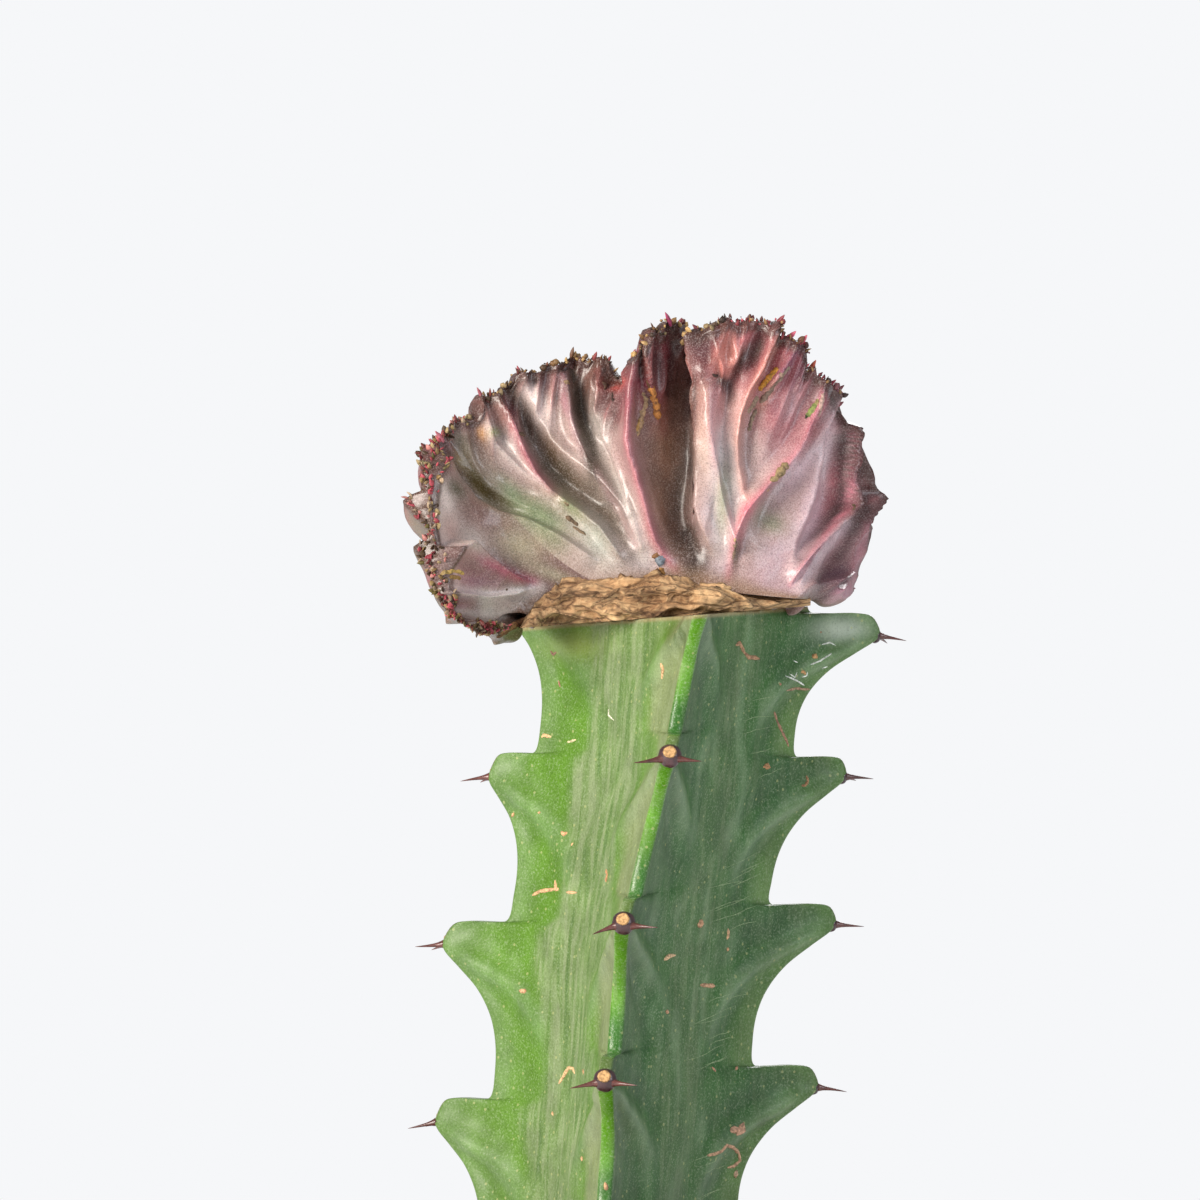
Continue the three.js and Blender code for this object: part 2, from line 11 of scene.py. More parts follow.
import bpy
import numpy as np
from mathutils import Matrix, Vector, noise
from mathutils.bvhtree import BVHTree


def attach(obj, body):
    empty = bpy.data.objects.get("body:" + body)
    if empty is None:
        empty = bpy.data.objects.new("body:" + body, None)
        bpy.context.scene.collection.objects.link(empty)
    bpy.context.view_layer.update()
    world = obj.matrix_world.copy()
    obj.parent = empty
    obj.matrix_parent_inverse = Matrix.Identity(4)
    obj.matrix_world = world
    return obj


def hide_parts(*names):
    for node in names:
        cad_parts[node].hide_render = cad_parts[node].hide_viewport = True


bl_info = {
    "name": "Potted coral cactus",
    "version": (1, 0, 0),
    "blender": (4, 5, 0),
    "location": "View3D > Sidebar > Plant",
    "description": "Builds the crested head, graft, winged stem, soil and pot over the packed solids",
    "category": "Object",
}

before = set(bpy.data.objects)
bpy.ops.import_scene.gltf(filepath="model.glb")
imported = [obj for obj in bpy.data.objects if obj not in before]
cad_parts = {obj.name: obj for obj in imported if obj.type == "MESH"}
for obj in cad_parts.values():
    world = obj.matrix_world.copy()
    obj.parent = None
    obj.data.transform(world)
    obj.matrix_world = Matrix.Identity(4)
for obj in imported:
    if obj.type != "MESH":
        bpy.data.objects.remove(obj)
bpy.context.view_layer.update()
bpy.ops.object.select_all(action="DESELECT")

MM = 0.001

# Shape tables shared with the part's source.
STEM_TOP = 237.7
CUT_SLOPE = 0.075
FOOT_END = 56.0
FOOT_RADIUS = 13.0
COLLAR_RADIUS = 17.5
ROUND_BELOW = 96.0
WINGED_ABOVE = 116.0
CORE = 12.0
EDGE_HALF = 1.3
POT_RADIUS = 60.0
POT_HEIGHT = 105.0
POT_FOOT_RADIUS = 42.0
POT_WALL = 5.5
POT_FLOOR = 8.0
RIM_BAND = 25.0
DRAIN_RADIUS = 7.0
SOIL_TOP = 92.0
HUB = np.array([9.7, 0.0, 242.5])

FRONT_ANGLE = 270
WINGS = [
    dict(angle=30, valley=25.2, sway=[0, 0], tips=[(265, 39),
        (235.8, 41.4), (210.1, 37.4), (183.1, 40.6), (153.4, 40), (124.6, 38), (98, 30), (70, 28)]),
    dict(angle=150, valley=27.6, sway=[0, 0], tips=[
        (270, 39), (241.5, 38), (210.1, 37.2), (179.5, 41), (147.1, 39.4), (115.6, 37), (86, 28), (58, 28)]),
    dict(angle=FRONT_ANGLE, valley=27.0, sway=[-4, -6, -6.5, -5, 0, 5], tips=[
        (268, 39), (241, 37), (215, 37.4), (185.8, 39.5), (158.3, 39.5), (131, 38.5), (104, 34), (76, 28)]),
]
# Heights at which the wings' sway and the stem's lean start, and from one value to the next.
SWAY_FROM, SWAY_STEP = 120, 25
LEAN_FROM, LEAN_STEP = 86, 15.5
TOOTH = [
    (0, 1, 0), (0.06, 0.95, 0.1), (0.15, 0.7, 0.2), (0.27, 0.38, 0.32), (0.41, 0.15, 0.45),
    (0.56, 0.03, 0.57), (0.72, 0, 0.7), (0.868, 0.04, 0.82), (0.884, 0.32, 0.87), (0.882, 0.65, 0.91),
    (0.905, 0.88, 0.955),
]
UNDER_STEPS = 8
LEAN = np.array([0, 0.2, 0.8, 1.8, 3.4, 4.6, 6.0, 8.6, 11.2, 13.0, 14.4])

EDGE = np.array([
    [-25, -6, -5], [-29.7, -13, -6.4], [-32.6, -17, -6.4], [-36.5, -19, -3.6], [-38.6, -18.5, 0.4],
    [-40, -18, 7.2], [-41.2, -17.5, 14.4], [-41.6, -15, 21.6], [-40, -10, 25.9], [-36, -5.5, 29.3],
    [-31.7, -1.5, 34.7], [-26.1, 2, 38.7], [-20.7, 4.5, 40.9], [-14.4, 5.5, 42.3], [-9.9, 4, 41.6],
    [-5.8, 0, 39.4], [-3.4, -8, 43.8], [1.8, -1, 47.7], [5.7, 6.5, 48.6], [5.6, -4.5, 45.4], [9.4, -8, 46.6],
    [15.3, -6, 49.1], [21.4, -4, 49.3], [25.7, -2, 45.7], [27.4, 1, 40.7], [31, 5, 36.8], [33, 9.5, 30.6],
    [36, 14, 21], [37, 17, 16.2], [36.5, 18.5, 11.7], [35.4, 19, 5.4], [34, 18, 0.9], [28.6, 13, -1.4],
])
FOOT = np.array([
    [-24.5, -5.4], [-17.5, -0.4], [-8, 0.6], [-1, 1.2], [4, 1.2], [10, 0.6], [18, -0.2], [26.5, -0.8]])
LAST = len(EDGE) - 1
BOWS = np.array([0, 2.5, 4.8, 6.4, 3.4, 2.4, 3, 2.2, 0])
# How far the growing edge is torn and frilled outwards: station, millimetres.
RIM = np.array([
    (0, 0), (1, 0.4), (1.6, -0.3), (2.2, 0.5), (2.7, 0.1), (3.2, 1), (3.5, -0.4), (3.9, 1.3), (4.3, 0.6),
    (4.8, 1.2), (5.2, 0.4), (5.8, 1.2), (6.3, 0.5), (6.9, 1.2), (7.4, 0.5), (7.9, 0.9), (8.33, 1.3),
    (8.42, 1.1), (8.46, 1.8), (8.72, 0.6), (8.78, 2.7), (9.08, 1.5), (9.42, 0), (9.62, 1.4), (9.78, 2.3),
    (10.08, -0.1), (10.11, 1.1), (10.48, -0.7), (10.52, 0.6), (10.84, 0), (10.92, 1.7), (11.3, 0.5),
    (11.72, -0.2), (11.92, 0.8), (12.26, 0.3), (12.52, 0.8), (12.6, 1.8), (12.86, 0.8), (13.16, 0.1),
    (13.32, 0.9), (14.01, 0.9), (14.19, -0.4), (14.41, -1.6), (14.59, -0.4), (14.85, -0.1), (14.89, 1.8),
    (14.92, 3.6), (15.69, 1.4), (16.07, 1.4), (16.29, 2.8), (16.43, 2.2), (16.57, 1), (16.69, 0.8),
    (16.75, 2.2), (16.85, 2), (17.47, 0.6), (17.77, -1.3), (18.51, -1.3), (19.33, 1.6), (19.65, 2.4),
    (19.79, 1.2), (20.07, 2), (20.53, 2.1), (20.69, 0.6), (21.05, 0.4), (21.33, -0.1), (21.59, -0.2),
    (21.69, -1), (21.97, 0.3), (22.17, -2.4), (22.53, -1.1), (22.75, -1.1), (22.87, -0.1), (23.17, 0.1),
    (23.77, -1.6), (23.93, 0.3), (24.03, -0.2), (24.65, 0.6), (24.87, 0.3), (25.11, 1.3), (25.43, 0.9),
    (25.79, -0.3), (26.08, 1.7), (26.26, 2), (26.34, 2.8), (26.7, 2.7), (27.16, 2.6), (27.7, 3.7),
    (28.34, 4.5), (28.58, 4.1), (28.82, 2.8), (29.1, 4.5), (29.36, 4.5), (29.74, 3), (30.24, 0.5),
    (30.6, 0.4), (30.85, 1.4), (31, 3.8), (31.1, 3.6), (31.35, 0.6), (31.7, 0),
])
# Ribs (rise above 0) and furrows (below 0) of the head's front, each a line from the growing edge to the
# foot: rise, reach of its left and right flank, colour, how strong and how broad that colour is, places from
# the hub.
# A row with no rise only colours. The dark colours of furrow rows are partly their own and partly
# painted shade; the rows so marked are painted light or painted highlight.
FRONT_FOLDS = [
    (4.6, 9, 0.7, "#a83a5c", 0.9, 1.1, [(-37.8, 7.4), (-36.5, 7.9), (-34.9, 9.4), (-32.7, 7.2), (-30.6, 5.8),
        (-27.9, 4.3), (-25.2, 3.2), (-22.7, 2.3)]),
    # Painted highlight: this row and the second after it lay white sheen lines on the lower lobe's small
    # ridges.
    (1.2, 1.2, 1.2, "#f0e6e4", 0.7, 1.1, [(-38.1, 0.9), (-34.2, 0.4), (-29.7, -0.2), (-25.5, 0.2),
        (-21.6, 1.3)]),
    (-0.9, 1.2, 1.2, "#8a5a64", 0.4, 1.2, [(-38.5, -0.9), (-34.5, -1.4), (-30.6, -1.8), (-26.6, -1.8),
        (-21.9, -0.9)]),
    (0.9, 1.2, 1.2, "#d6ccc6", 0.5, 0.8, [(-36.9, -2.9), (-32.4, -3.4), (-27.9, -3.6), (-23.4, -2.5)]),
    (-0.7, 1.4, 1.4, "#4e3c34", 0.7, 1.8, [(-37.4, -4.9), (-33.8, -5.9), (-30.2, -6.1), (-27.3, -5.2)]),
    (-0.7, 1.2, 1.2, "#b07884", 0.3, 1.6, [(-38.1, 4.1), (-35.1, 4), (-32, 3.1), (-28.8, 2)]),
    (2.8, 9, 1.2, "#c9b3a6", 0.3, 1.2, [(-38.7, 23.6), (-37.1, 23.9), (-35.1, 21.2), (-32.9, 18),
        (-28.8, 15.3), (-23.4, 13.5), (-18, 10.8), (-13.5, 7.7), (-10.8, 5.9)]),
    (-2.4, 2.2, 2.4, "#564810", 0.95, 1.5, [(-35.6, 27.5), (-34.7, 24.7), (-33.3, 21.6), (-31.1, 18.9),
        (-27.9, 16.7), (-23.4, 14.6)]),
    (0.9, 1.2, 2.5, "#b7ae98", 0.35, 1, [(-36.2, 28.4), (-34.2, 25.7), (-32.4, 22.9), (-29.7, 19.8),
        (-25.2, 17.1), (-19.8, 14.4), (-12.6, 9.9)]),
    (-1.1, 2, 2, "#77695a", 0.55, 1.5, [(-34.5, 27.9), (-32.4, 25.7), (-29.7, 23), (-25.7, 19.8),
        (-21.6, 17.5)]),
    # Pale crest with a painted highlight laid on it.
    (1.5, 2.2, 1.6, "#e0d2c6", 0.5, 1.1, [(-30.9, 30.8), (-29.3, 27.9), (-27, 25.2), (-23.9, 22.1),
        (-20.3, 18.9), (-17.6, 16.7)]),
    (3.2, 1.6, 3.5, "#b5606e", 0.9, 0.9, [(-28.1, 35.5), (-27, 32.9), (-25.7, 29.3), (-24.3, 25.7),
        (-22.1, 22.1), (-19.4, 18.9), (-17.1, 17.1)]),
    (2.6, 2.4, 3.5, "#8b7a6c", 0.4, 1, [(-17.1, 17.1), (-14.4, 15.3), (-10.8, 12.2), (-7.7, 7.7),
        (-6.3, 5.4)]),
    # Dark furrow: partly its own brown, partly painted shade.
    (-3.2, 3.4, 3, "#4c3d28", 0.95, 2.3, [(-27.9, 36.9), (-25.5, 35.1), (-23, 32.9), (-21.2, 27.9),
        (-19.4, 23.6), (-15.8, 19.8), (-12.2, 16.9), (-9.3, 14.9), (-7.2, 11.7), (-5, 7.7)]),
    (1.8, 3, 2.2, "#d9c6bb", 0.4, 1, [(-24.3, 39.8), (-22.8, 36.5), (-21, 32.4), (-19.4, 28.8), (-17.6, 26.5),
        (-14.4, 23.6), (-10.6, 20.2), (-7.2, 16.2), (-4.7, 10.8), (-3.2, 7.2)]),
    (2.8, 2.2, 1.8, "#c0909c", 0.6, 0.8, [(-17.1, 40.1), (-16.5, 36.9), (-16, 32.9), (-14.9, 28.8),
        (-13.1, 24.7), (-10.2, 20.3), (-6.8, 15.3), (-4.3, 9)]),
    # Dark furrow beside a steep rib: partly its own colour, partly painted shade.
    (-2.9, 2.2, 2.6, "#453c2a", 0.95, 1.6, [(-15.8, 41.2), (-14.7, 36), (-14, 32), (-12.9, 27.9),
        (-10.8, 23.8), (-8.1, 19.4), (-5.4, 14.4)]),
    # Painted highlight along this ridge's pale crest.
    (2.4, 2.4, 3, "#e6dcd4", 0.5, 1.2, [(-12.9, 38.7), (-12.8, 35.1), (-12.4, 32.4), (-11.7, 29.2),
        (-10.6, 25.9), (-8.6, 22), (-6.8, 18.4), (-5, 14), (-3.9, 9.9), (-2.7, 6.3)]),
    (1.3, 1, 1, "#9a4f4a", 0.6, 0.8, [(-12, 43), (-11.5, 40.1), (-10.8, 37.3)]),
    (-1.5, 1.2, 1.4, "#4a302a", 0.7, 1.1, [(-9.7, 42.7), (-9, 38.7), (-8.6, 34.7), (-8.4, 30.6)]),
    (1.6, 1, 1, "#7c3a40", 0.5, 0.8, [(-8.6, 42.7), (-7.7, 40.1), (-6.8, 36.9), (-6.3, 33.7)]),
    (3.6, 3, 1.8, "#c76a7c", 0.8, 0.9, [(-4.7, 40.9), (-5.4, 36.9), (-5.7, 32.4), (-5.9, 27.9), (-5.4, 25.2),
        (-4.5, 22.5), (-4.1, 20.7), (-2.7, 16.2), (-1.8, 12.6), (-0.9, 9.9), (0.9, 7), (3.1, 4)]),
    (-1.8, 2, 4, "#5a4537", 0.7, 2.8, [(-3.2, 31.5), (-2.1, 27), (-0.9, 22.5), (0.6, 18.5), (1.8, 14.4),
        (3.6, 10.3), (6.3, 6.7)]),
    (-2.6, 6, 1.6, "#4a372a", 0, 2.5, [(5.4, 41.2), (5.2, 35.1), (5.1, 29.7), (4.7, 24.3), (4.3, 18.9),
        (4.3, 13.9), (5.4, 9.9), (6.3, 6.7), (5.6, 3.8), (5.4, 0.5)]),
    # Painted shade: the next two rows darken the deep furrow down to a near-black bottom.
    (0, 1, 1, "#4a372a", 0.97, 2.5, [(4.2, 36.2), (4, 32.4), (3.8, 27.9), (3.8, 24.3), (3.6, 18.9),
        (3.8, 13.9), (5.1, 9.9), (6.3, 7), (5.4, 3.8), (5.4, 0.5)]),
    (0, 1, 1, "#2e201a", 0.97, 2.3, [(5.4, 10.6), (6.9, 8.8), (7.6, 7), (6.9, 5), (5.1, 3.1)]),
    # Painted light over the top of the deep furrow.
    (0, 1, 1, "#a87c70", 0.6, 1.6, [(4.2, 42.3), (4, 39.4), (4, 36.9)]),
    (2.4, 0.9, 5, "#d8b4a6", 0, 1.1, [(6.7, 44.1), (6.7, 39.6), (6.9, 31.5), (6.9, 25.2), (6.7, 20.7),
        (6.5, 16.2), (7.2, 12.6), (8.7, 9), (10.1, 6.3)]),
    (0, 1, 1, "#d6b2a4", 0.6, 1.7, [(7.9, 36.5), (7.9, 31.5), (7.8, 25.2), (7.6, 20.7), (7.4, 16.2),
        (8.1, 12.6), (9.2, 9), (10.1, 6.3)]),
    (0, 1, 1, "#46181c", 0.97, 2.4, [(8.1, 47), (9.2, 45.4), (10.3, 44.1)]),
    (0, 1, 1, "#543030", 0.8, 1.8, [(26.8, 38), (28.1, 36.2), (29.2, 34.4)]),
    (0, 1, 1, "#5c3830", 0.7, 1.4, [(-28.2, 35.5), (-27.5, 33.7), (-27, 31.9)]),
    (0, 1, 1, "#5e5e34", 0.7, 1.7, [(-21, 11), (-19.4, 9.7), (-18, 8.8)]),
    (0, 1, 1, "#6a5238", 0.6, 1.2, [(-21.6, 30.1), (-20.1, 28.4), (-18.7, 25.7)]),
    (0, 1, 1, "#6a4636", 0.6, 1.2, [(-32.9, 28.6), (-31.7, 26.8), (-30.2, 25)]),
    (0, 1, 1, "#6a3230", 0.6, 1.2, [(-5.7, 40.1), (-5.4, 38), (-5.7, 35.8)]),
    (0, 1, 1, "#4e3836", 0.6, 1.2, [(24.3, -0.9), (27.4, -0.7), (29.9, -0.2)]),
    # Painted light: the next two near-white rows lighten the fan's left end, which turns away from the key
    # light.
    (0, 1, 1, "#fff2ea", 0.8, 2.4, [(-39, 18.9), (-38.5, 14.4), (-37.8, 9.5)]),
    (0, 1, 1, "#fde0d8", 0.7, 1.8, [(-38.5, 6.3), (-37.8, 4.1), (-36.7, 2)]),
    # Painted highlight on the crest of a right-hand rib.
    (0, 1, 1, "#f2d8dc", 0.6, 1.8, [(30.8, 30.6), (30.1, 27.5), (29.2, 24.3)]),
    (0, 1, 1, "#f6cfc2", 0.5, 2.2, [(13.2, 35.1), (13.5, 32.2), (13.2, 28.6)]),
    (0, 1, 1, "#dcd8cc", 0.6, 2.4, [(-30.9, -2), (-27.9, -2.2), (-24.3, -1.6)]),
    (-1.4, 1, 1, "#43201a", 0.85, 1.4, [(-3.6, 42.3), (-2.9, 39.1), (-2.1, 35.8), (-1.4, 32.9)]),
    (0, 1, 1, "#e0ac9e", 0.6, 1.6, [(-31.1, 34.4), (-30.4, 33.1), (-29.3, 31.5)]),
    (0, 1, 1, "#f2deda", 0.7, 2, [(-23.4, 36.5), (-22.1, 33.5), (-20.9, 30.6)]),
    (1.8, 1, 1.4, "#8a4038", 0.6, 0.8, [(-3.6, 44.8), (-2.7, 41.9), (-2.1, 39.1), (-0.9, 35.8), (0, 32.8),
        (0.7, 29.7)]),
    (2, 1.2, 1.4, "#8a3c46", 0.8, 0.9, [(-0.9, 49.9), (0.2, 46.8), (0.9, 44.1), (1.3, 40.9), (1.1, 37.8),
        (0.4, 34.7)]),
    (-1.5, 1, 1.6, "#3e2a28", 0.7, 1, [(1.8, 49.1), (2.2, 45), (2.2, 40.5), (2, 36)]),
    (1.8, 1, 1.6, "#5e3a36", 0.5, 0.8, [(2, 50.6), (3.1, 47.7), (4.3, 44.8), (5.1, 41.9)]),
    (2.4, 2.5, 1.3, "#cd929c", 0.6, 0.7, [(9.2, 39.8), (9.4, 35.1), (9.2, 30.6), (9.6, 25.2), (10.6, 20.7),
        (11.7, 15.8), (13, 11.3), (13.9, 7.2)]),
    (-0.5, 2, 2.4, "#a89a92", 0.15, 1.6, [(11.2, 35.1), (11.2, 29.7), (11.5, 24.3), (12.6, 19.8),
        (13.9, 15.7)]),
    (-1.2, 1, 1.6, "#45302f", 0.9, 1.2, [(10.1, 38.5), (11.4, 37.6), (12.8, 35.8)]),
    (1.6, 1.5, 1.2, "#cf7f74", 0.7, 1, [(12.8, 49.5), (11.5, 45), (10.3, 41.9), (9.2, 39.4)]),
    (2, 1.6, 1.2, "#db8e82", 0.8, 0.9, [(16.2, 48.4), (14.8, 44.6), (13.5, 41.9), (11.9, 39.4)]),
    (-1.7, 1.4, 1.8, "#5a4340", 0.5, 1.3, [(17.7, 45.9), (15.9, 42.3), (14.4, 39.4), (13.2, 36.5),
        (12.1, 32.9)]),
    (2.4, 2.4, 1.4, "#d3907f", 0.7, 0.8, [(21.6, 46.6), (19.8, 43.2), (18.4, 40.5), (16.2, 36.5),
        (14.6, 32.4), (13.9, 27.9), (14.2, 23.4), (15.1, 18.9), (15.9, 16.2)]),
    (-1.2, 1.5, 3, "#8d7a74", 0.4, 1.4, [(19.5, 36.9), (17.5, 32.9), (16.2, 28.3), (16.2, 23.4),
        (17.1, 18.9)]),
    (2.2, 1, 1.2, "#9a5a78", 0.6, 0.8, [(26.3, 46.3), (24.3, 43.2), (22.2, 40.1), (20.4, 37.4),
        (18.4, 35.5)]),
    (-1.3, 1.2, 1.6, "#76304a", 0.6, 1, [(27.4, 44.1), (25.2, 40.1), (23.1, 36.5), (20.7, 33.3)]),
    (1.6, 1, 1, "#c26a6e", 0.7, 0.7, [(27.4, 41.2), (26.3, 38.7), (25.2, 35.8)]),
    (3, 2.4, 2, "#d5808c", 0.85, 0.9, [(30.3, 39.4), (28.8, 34.2), (27.4, 31.1), (26.3, 27.9), (24.5, 25.2),
        (22, 22.5), (19.8, 20.3), (17.1, 17.1), (15.5, 15.1), (14.4, 12.6), (13.5, 9.9), (12.8, 6.3),
        (12.1, 2.7)]),
    (-1.6, 1.6, 3, "#8f8076", 0.35, 1.6, [(28.5, 29.3), (26.3, 24.7), (23.4, 20.7), (20.9, 17.1),
        (18.9, 13.5), (17.5, 9)]),
    (2.2, 5, 2, "#dcc3c8", 0.5, 1.4, [(32.8, 36.5), (31.7, 32.4), (30.6, 27.9), (29.7, 23.4), (27.9, 17.1),
        (26.5, 13.1), (24.7, 8.1), (23.4, 3.1)]),
    # Dark furrow right of a rib: partly its own brown, partly painted shade.
    (-2.4, 2.4, 2, "#54403f", 0.8, 1.5, [(33.7, 30.6), (33.1, 26.1), (32.8, 21.6), (32.8, 17.1), (31, 13.5),
        (27.9, 9.9), (25.2, 6.3)]),
    (5, 3.2, 0.5, "#cf6c80", 0.85, 0.55, [(34.8, 30.6), (34.6, 26.1), (34.4, 20.7), (35.5, 16.6),
        (33.9, 14.4), (31.5, 11.7), (27.9, 8.1), (25.2, 4.5), (23.4, 1.8)]),
    # Painted shadow in the furrow right of the fin's sharp edge.
    (-2.6, 0.6, 3, "#4a3433", 0.85, 1.5, [(35.7, 27.9), (35.7, 20.7), (37.1, 16.2), (35.7, 13.1), (33.7, 8.8),
        (31.3, 5.8), (28.5, 1.3)]),
    (4.2, 3.6, 0.5, "#8a5f5c", 0.5, 0.5, [(36.4, 29), (37.3, 25.2), (38.4, 21.1), (40, 17.1), (37.8, 13.3),
        (35.5, 8.5), (34.4, 3.8), (32.1, 1.3), (29.2, -0.5)]),
    # Painted highlight: a bright band on the next fin.
    (0.8, 1.6, 1.2, "#e2ccd2", 0.8, 1.3, [(33.5, 13.1), (31, 9.7), (28.3, 6.7), (25.8, 3.2), (24.7, 1.3)]),
    (-0.9, 0.9, 0.9, "#6a3f32", 0.95, 1.5, [(-12.2, 42.3), (-12.8, 39.6), (-13.1, 36.9), (-12.8, 34.2)]),
    (0.8, 1, 1, "#3c2622", 0.8, 0.6, [(34.4, 3.6), (32.4, 1.6), (30.3, 0), (27.9, -1.1)]),
    (1.2, 1.2, 1.2, "#c9808e", 0.7, 1.2, [(38.2, 12.1), (36.7, 8.5), (35.3, 4.9), (35.3, 2), (33.9, 0.2),
        (31.5, -1.3)]),
]
# How far the edge of the deep furrow stands further right than in the solid.
FURROW_ASIDE = 3.9
BACK_COUNT = 20
BACK_RISE = 3.8


def seeded(state):
    """The same draws as the part's source makes, so that both give the same ribs at the back."""
    while True:
        state = (state * 1664525 + 1013904223) % 4294967296
        yield state / 4294967296


def smoothstep(x, low, high):
    t = np.clip((np.asarray(x, float) - low) / (high - low), 0, 1)
    return t * t * (3 - 2 * t)


def lerp(a, b, t):
    return a + (b - a) * t


def spline(values, t):
    values = np.asarray(values, float)
    t = np.asarray(t, float)
    last = len(values) - 1
    i = np.clip(np.floor(t).astype(int), 0, last - 1)
    f = np.clip(t, 0, last) - i
    b, c = values[i], values[i + 1]
    a = np.where(i > 0, values[np.maximum(i - 1, 0)], 2 * b - c)
    d = np.where(i + 2 <= last, values[np.minimum(i + 2, last)], 2 * c - b)
    return b + 0.5 * f * (c - a + f * (2 * a - 5 * b + 4 * c - d + f * (3 * (b - c) + d - a)))


def grain(points, size, seed=0.0):
    """Smooth noise from -1 to 1 at each point, with lumps about as big as size."""
    place = np.asarray(points, float) / size + seed
    return np.array([noise.noise(p) for p in place.tolist()])


def back_ribs():
    draw = seeded(7)
    ribs = []
    for i in range(1, BACK_COUNT):
        main = i % 2
        at = (i + 0.35 * (next(draw) - 0.5)) / BACK_COUNT * LAST
        rise = BACK_RISE * (0.35 + 0.35 * main + 0.4 * next(draw)) * float(smoothstep(at, 1, 7))
        ribs.append((at, rise, 1 + 0.8 * main, 0.05 if main else 0.45))
    return ribs


def back_tubercles(ribs):
    draw = seeded(19)
    return [(rib[0], 0.45 + 0.45 * next(draw), 1 + 1.4 * next(draw)) for rib in ribs]


BACK_RIBS = back_ribs()
BACK_TUBERCLES = back_tubercles(BACK_RIBS)


def ribs_at(ribs, at, v):
    total = np.zeros_like(at)
    for station, rise, flank, start in ribs:
        off = np.sqrt((at - station) ** 2 + 0.0016) - 0.04
        near = np.clip(1 - off / flank, 0, 1)
        total += rise * near**2 * smoothstep(v, start, start + 0.45)
    return total


def fan_middle(at, v):
    foot = at / LAST * (len(FOOT) - 1)
    bow = spline(BOWS, at / LAST * (len(BOWS) - 1)) * np.sin(math.pi * v**1.2)
    reach = 1 - 0.03 * v**6
    step = smoothstep(at, 17.2, 18.6) * (1 - smoothstep(at, 19.5, 21.2))
    aside = FURROW_ASIDE * step * smoothstep(v, 0.1, 0.38) * (1 - smoothstep(v, 0.86, 1))
    return np.stack([
        lerp(spline(FOOT[:, 0], foot), spline(EDGE[:, 0], at), v * reach) - 0.88 * bow + aside,
        spline(EDGE[:, 1], at) * v**1.8,
        lerp(spline(FOOT[:, 1], foot), spline(EDGE[:, 2], at), v * reach) - 0.47 * bow,
    ], axis=-1)


def unit(vectors):
    return vectors / np.maximum(np.linalg.norm(vectors, axis=-1, keepdims=True), 1e-9)


def fan_normal(at, v):
    place = np.maximum(v, 0.1)
    along = fan_middle(np.minimum(at + 1.2, LAST), place) - fan_middle(np.maximum(at - 1.2, 0), place)
    outward = fan_middle(at, place + 0.05) - fan_middle(at, place - 0.05)
    normal = unit(np.cross(along, outward))
    return unit(lerp(np.array([0.0, -1.0, 0.0]), normal, smoothstep(v, 0, 0.45)[..., None]))


def sheet_outward(at):
    return unit(fan_middle(at, np.ones_like(at)) - fan_middle(at, np.full_like(at, 0.92)))


def tubercles_at(tubercles, at, v):
    """Leaf scars on the ribs: each ends in a small point, with a longer slope below it than above."""
    total = np.zeros_like(at)
    for station, along, height in tubercles:
        reach = np.where(v > along, 0.045, 0.1)
        off = np.sqrt(((at - station) / 0.36) ** 2 + ((v - along) / reach) ** 2)
        total += height * np.exp(-1.5 * off**1.4)
    return total


def near_line(x, z, places):
    """How far points are from a line on the front, on which side (1 is right) and how far along."""
    best = np.full(x.shape, 1e9)
    side = np.zeros(x.shape)
    along = np.zeros(x.shape)
    for i, ((ax, az), (bx, bz)) in enumerate(zip(places, places[1:])):
        dx, dz = bx - ax, bz - az
        t = np.clip(((x - ax) * dx + (z - az) * dz) / (dx * dx + dz * dz), 0, 1)
        off = np.hypot(x - ax - t * dx, z - az - t * dz)
        nearer = off < best
        best = np.where(nearer, off, best)
        side = np.where(nearer, np.sign(dx * (z - az) - dz * (x - ax)), side)
        along = np.where(nearer, (i + t) / (len(places) - 1), along)
    return best, side, along


def front_folds(x, z):
    """Rise of the ribs and furrows of the front: ribs are sharp, furrows round."""
    total = np.zeros_like(x)
    for rise, left, right, _, _, _, places in FRONT_FOLDS:
        off, side, along = near_line(x, z, places)
        share = off / np.where(side > 0, right, left)
        fading = 1 - along**5
        if rise > 0:
            total += rise * fading * np.clip(1 - np.sqrt(share**2 + 0.003) + 0.055, 0, 1) ** 2
        else:
            total += rise * fading * np.exp(-1.4 * share**2)
    return total


def frilled(at):
    """How far the growing edge reaches outwards at a station, in millimetres."""
    noisy = 0.35 * grain(np.stack([at, at * 0, at * 0], -1), 0.16, 4.2) * (1 - smoothstep(at, 25, 26))
    return np.interp(at, RIM[:, 0], RIM[:, 1]) + noisy


def pleats(at, v):
    """Narrow pleats that end in the growing edge, from 0 in their grooves to 1 on their crests."""
    drift = 0.45 * grain(np.stack([at, v, at * 0], -1), 1.1, 2.6)
    return 1 - np.abs(np.sin(math.pi * (1.55 * at + drift))) ** 0.7


def back_lobes(at, v):
    """Two teeth of the head's back that show past its left edge."""
    total = np.zeros_like(at)
    for low, high, rise in ((4.55, 5.3, 3.0), (5.6, 6.42, 3.4)):
        share = np.clip((at - low) / (high - low), 0, 1)
        total += rise * share * (1 - smoothstep(at, high, high + 0.12))
    return total * smoothstep(v, 0.35, 0.8)


FRONT_SHARE = 0.52
CAP_SHARE = 0.08


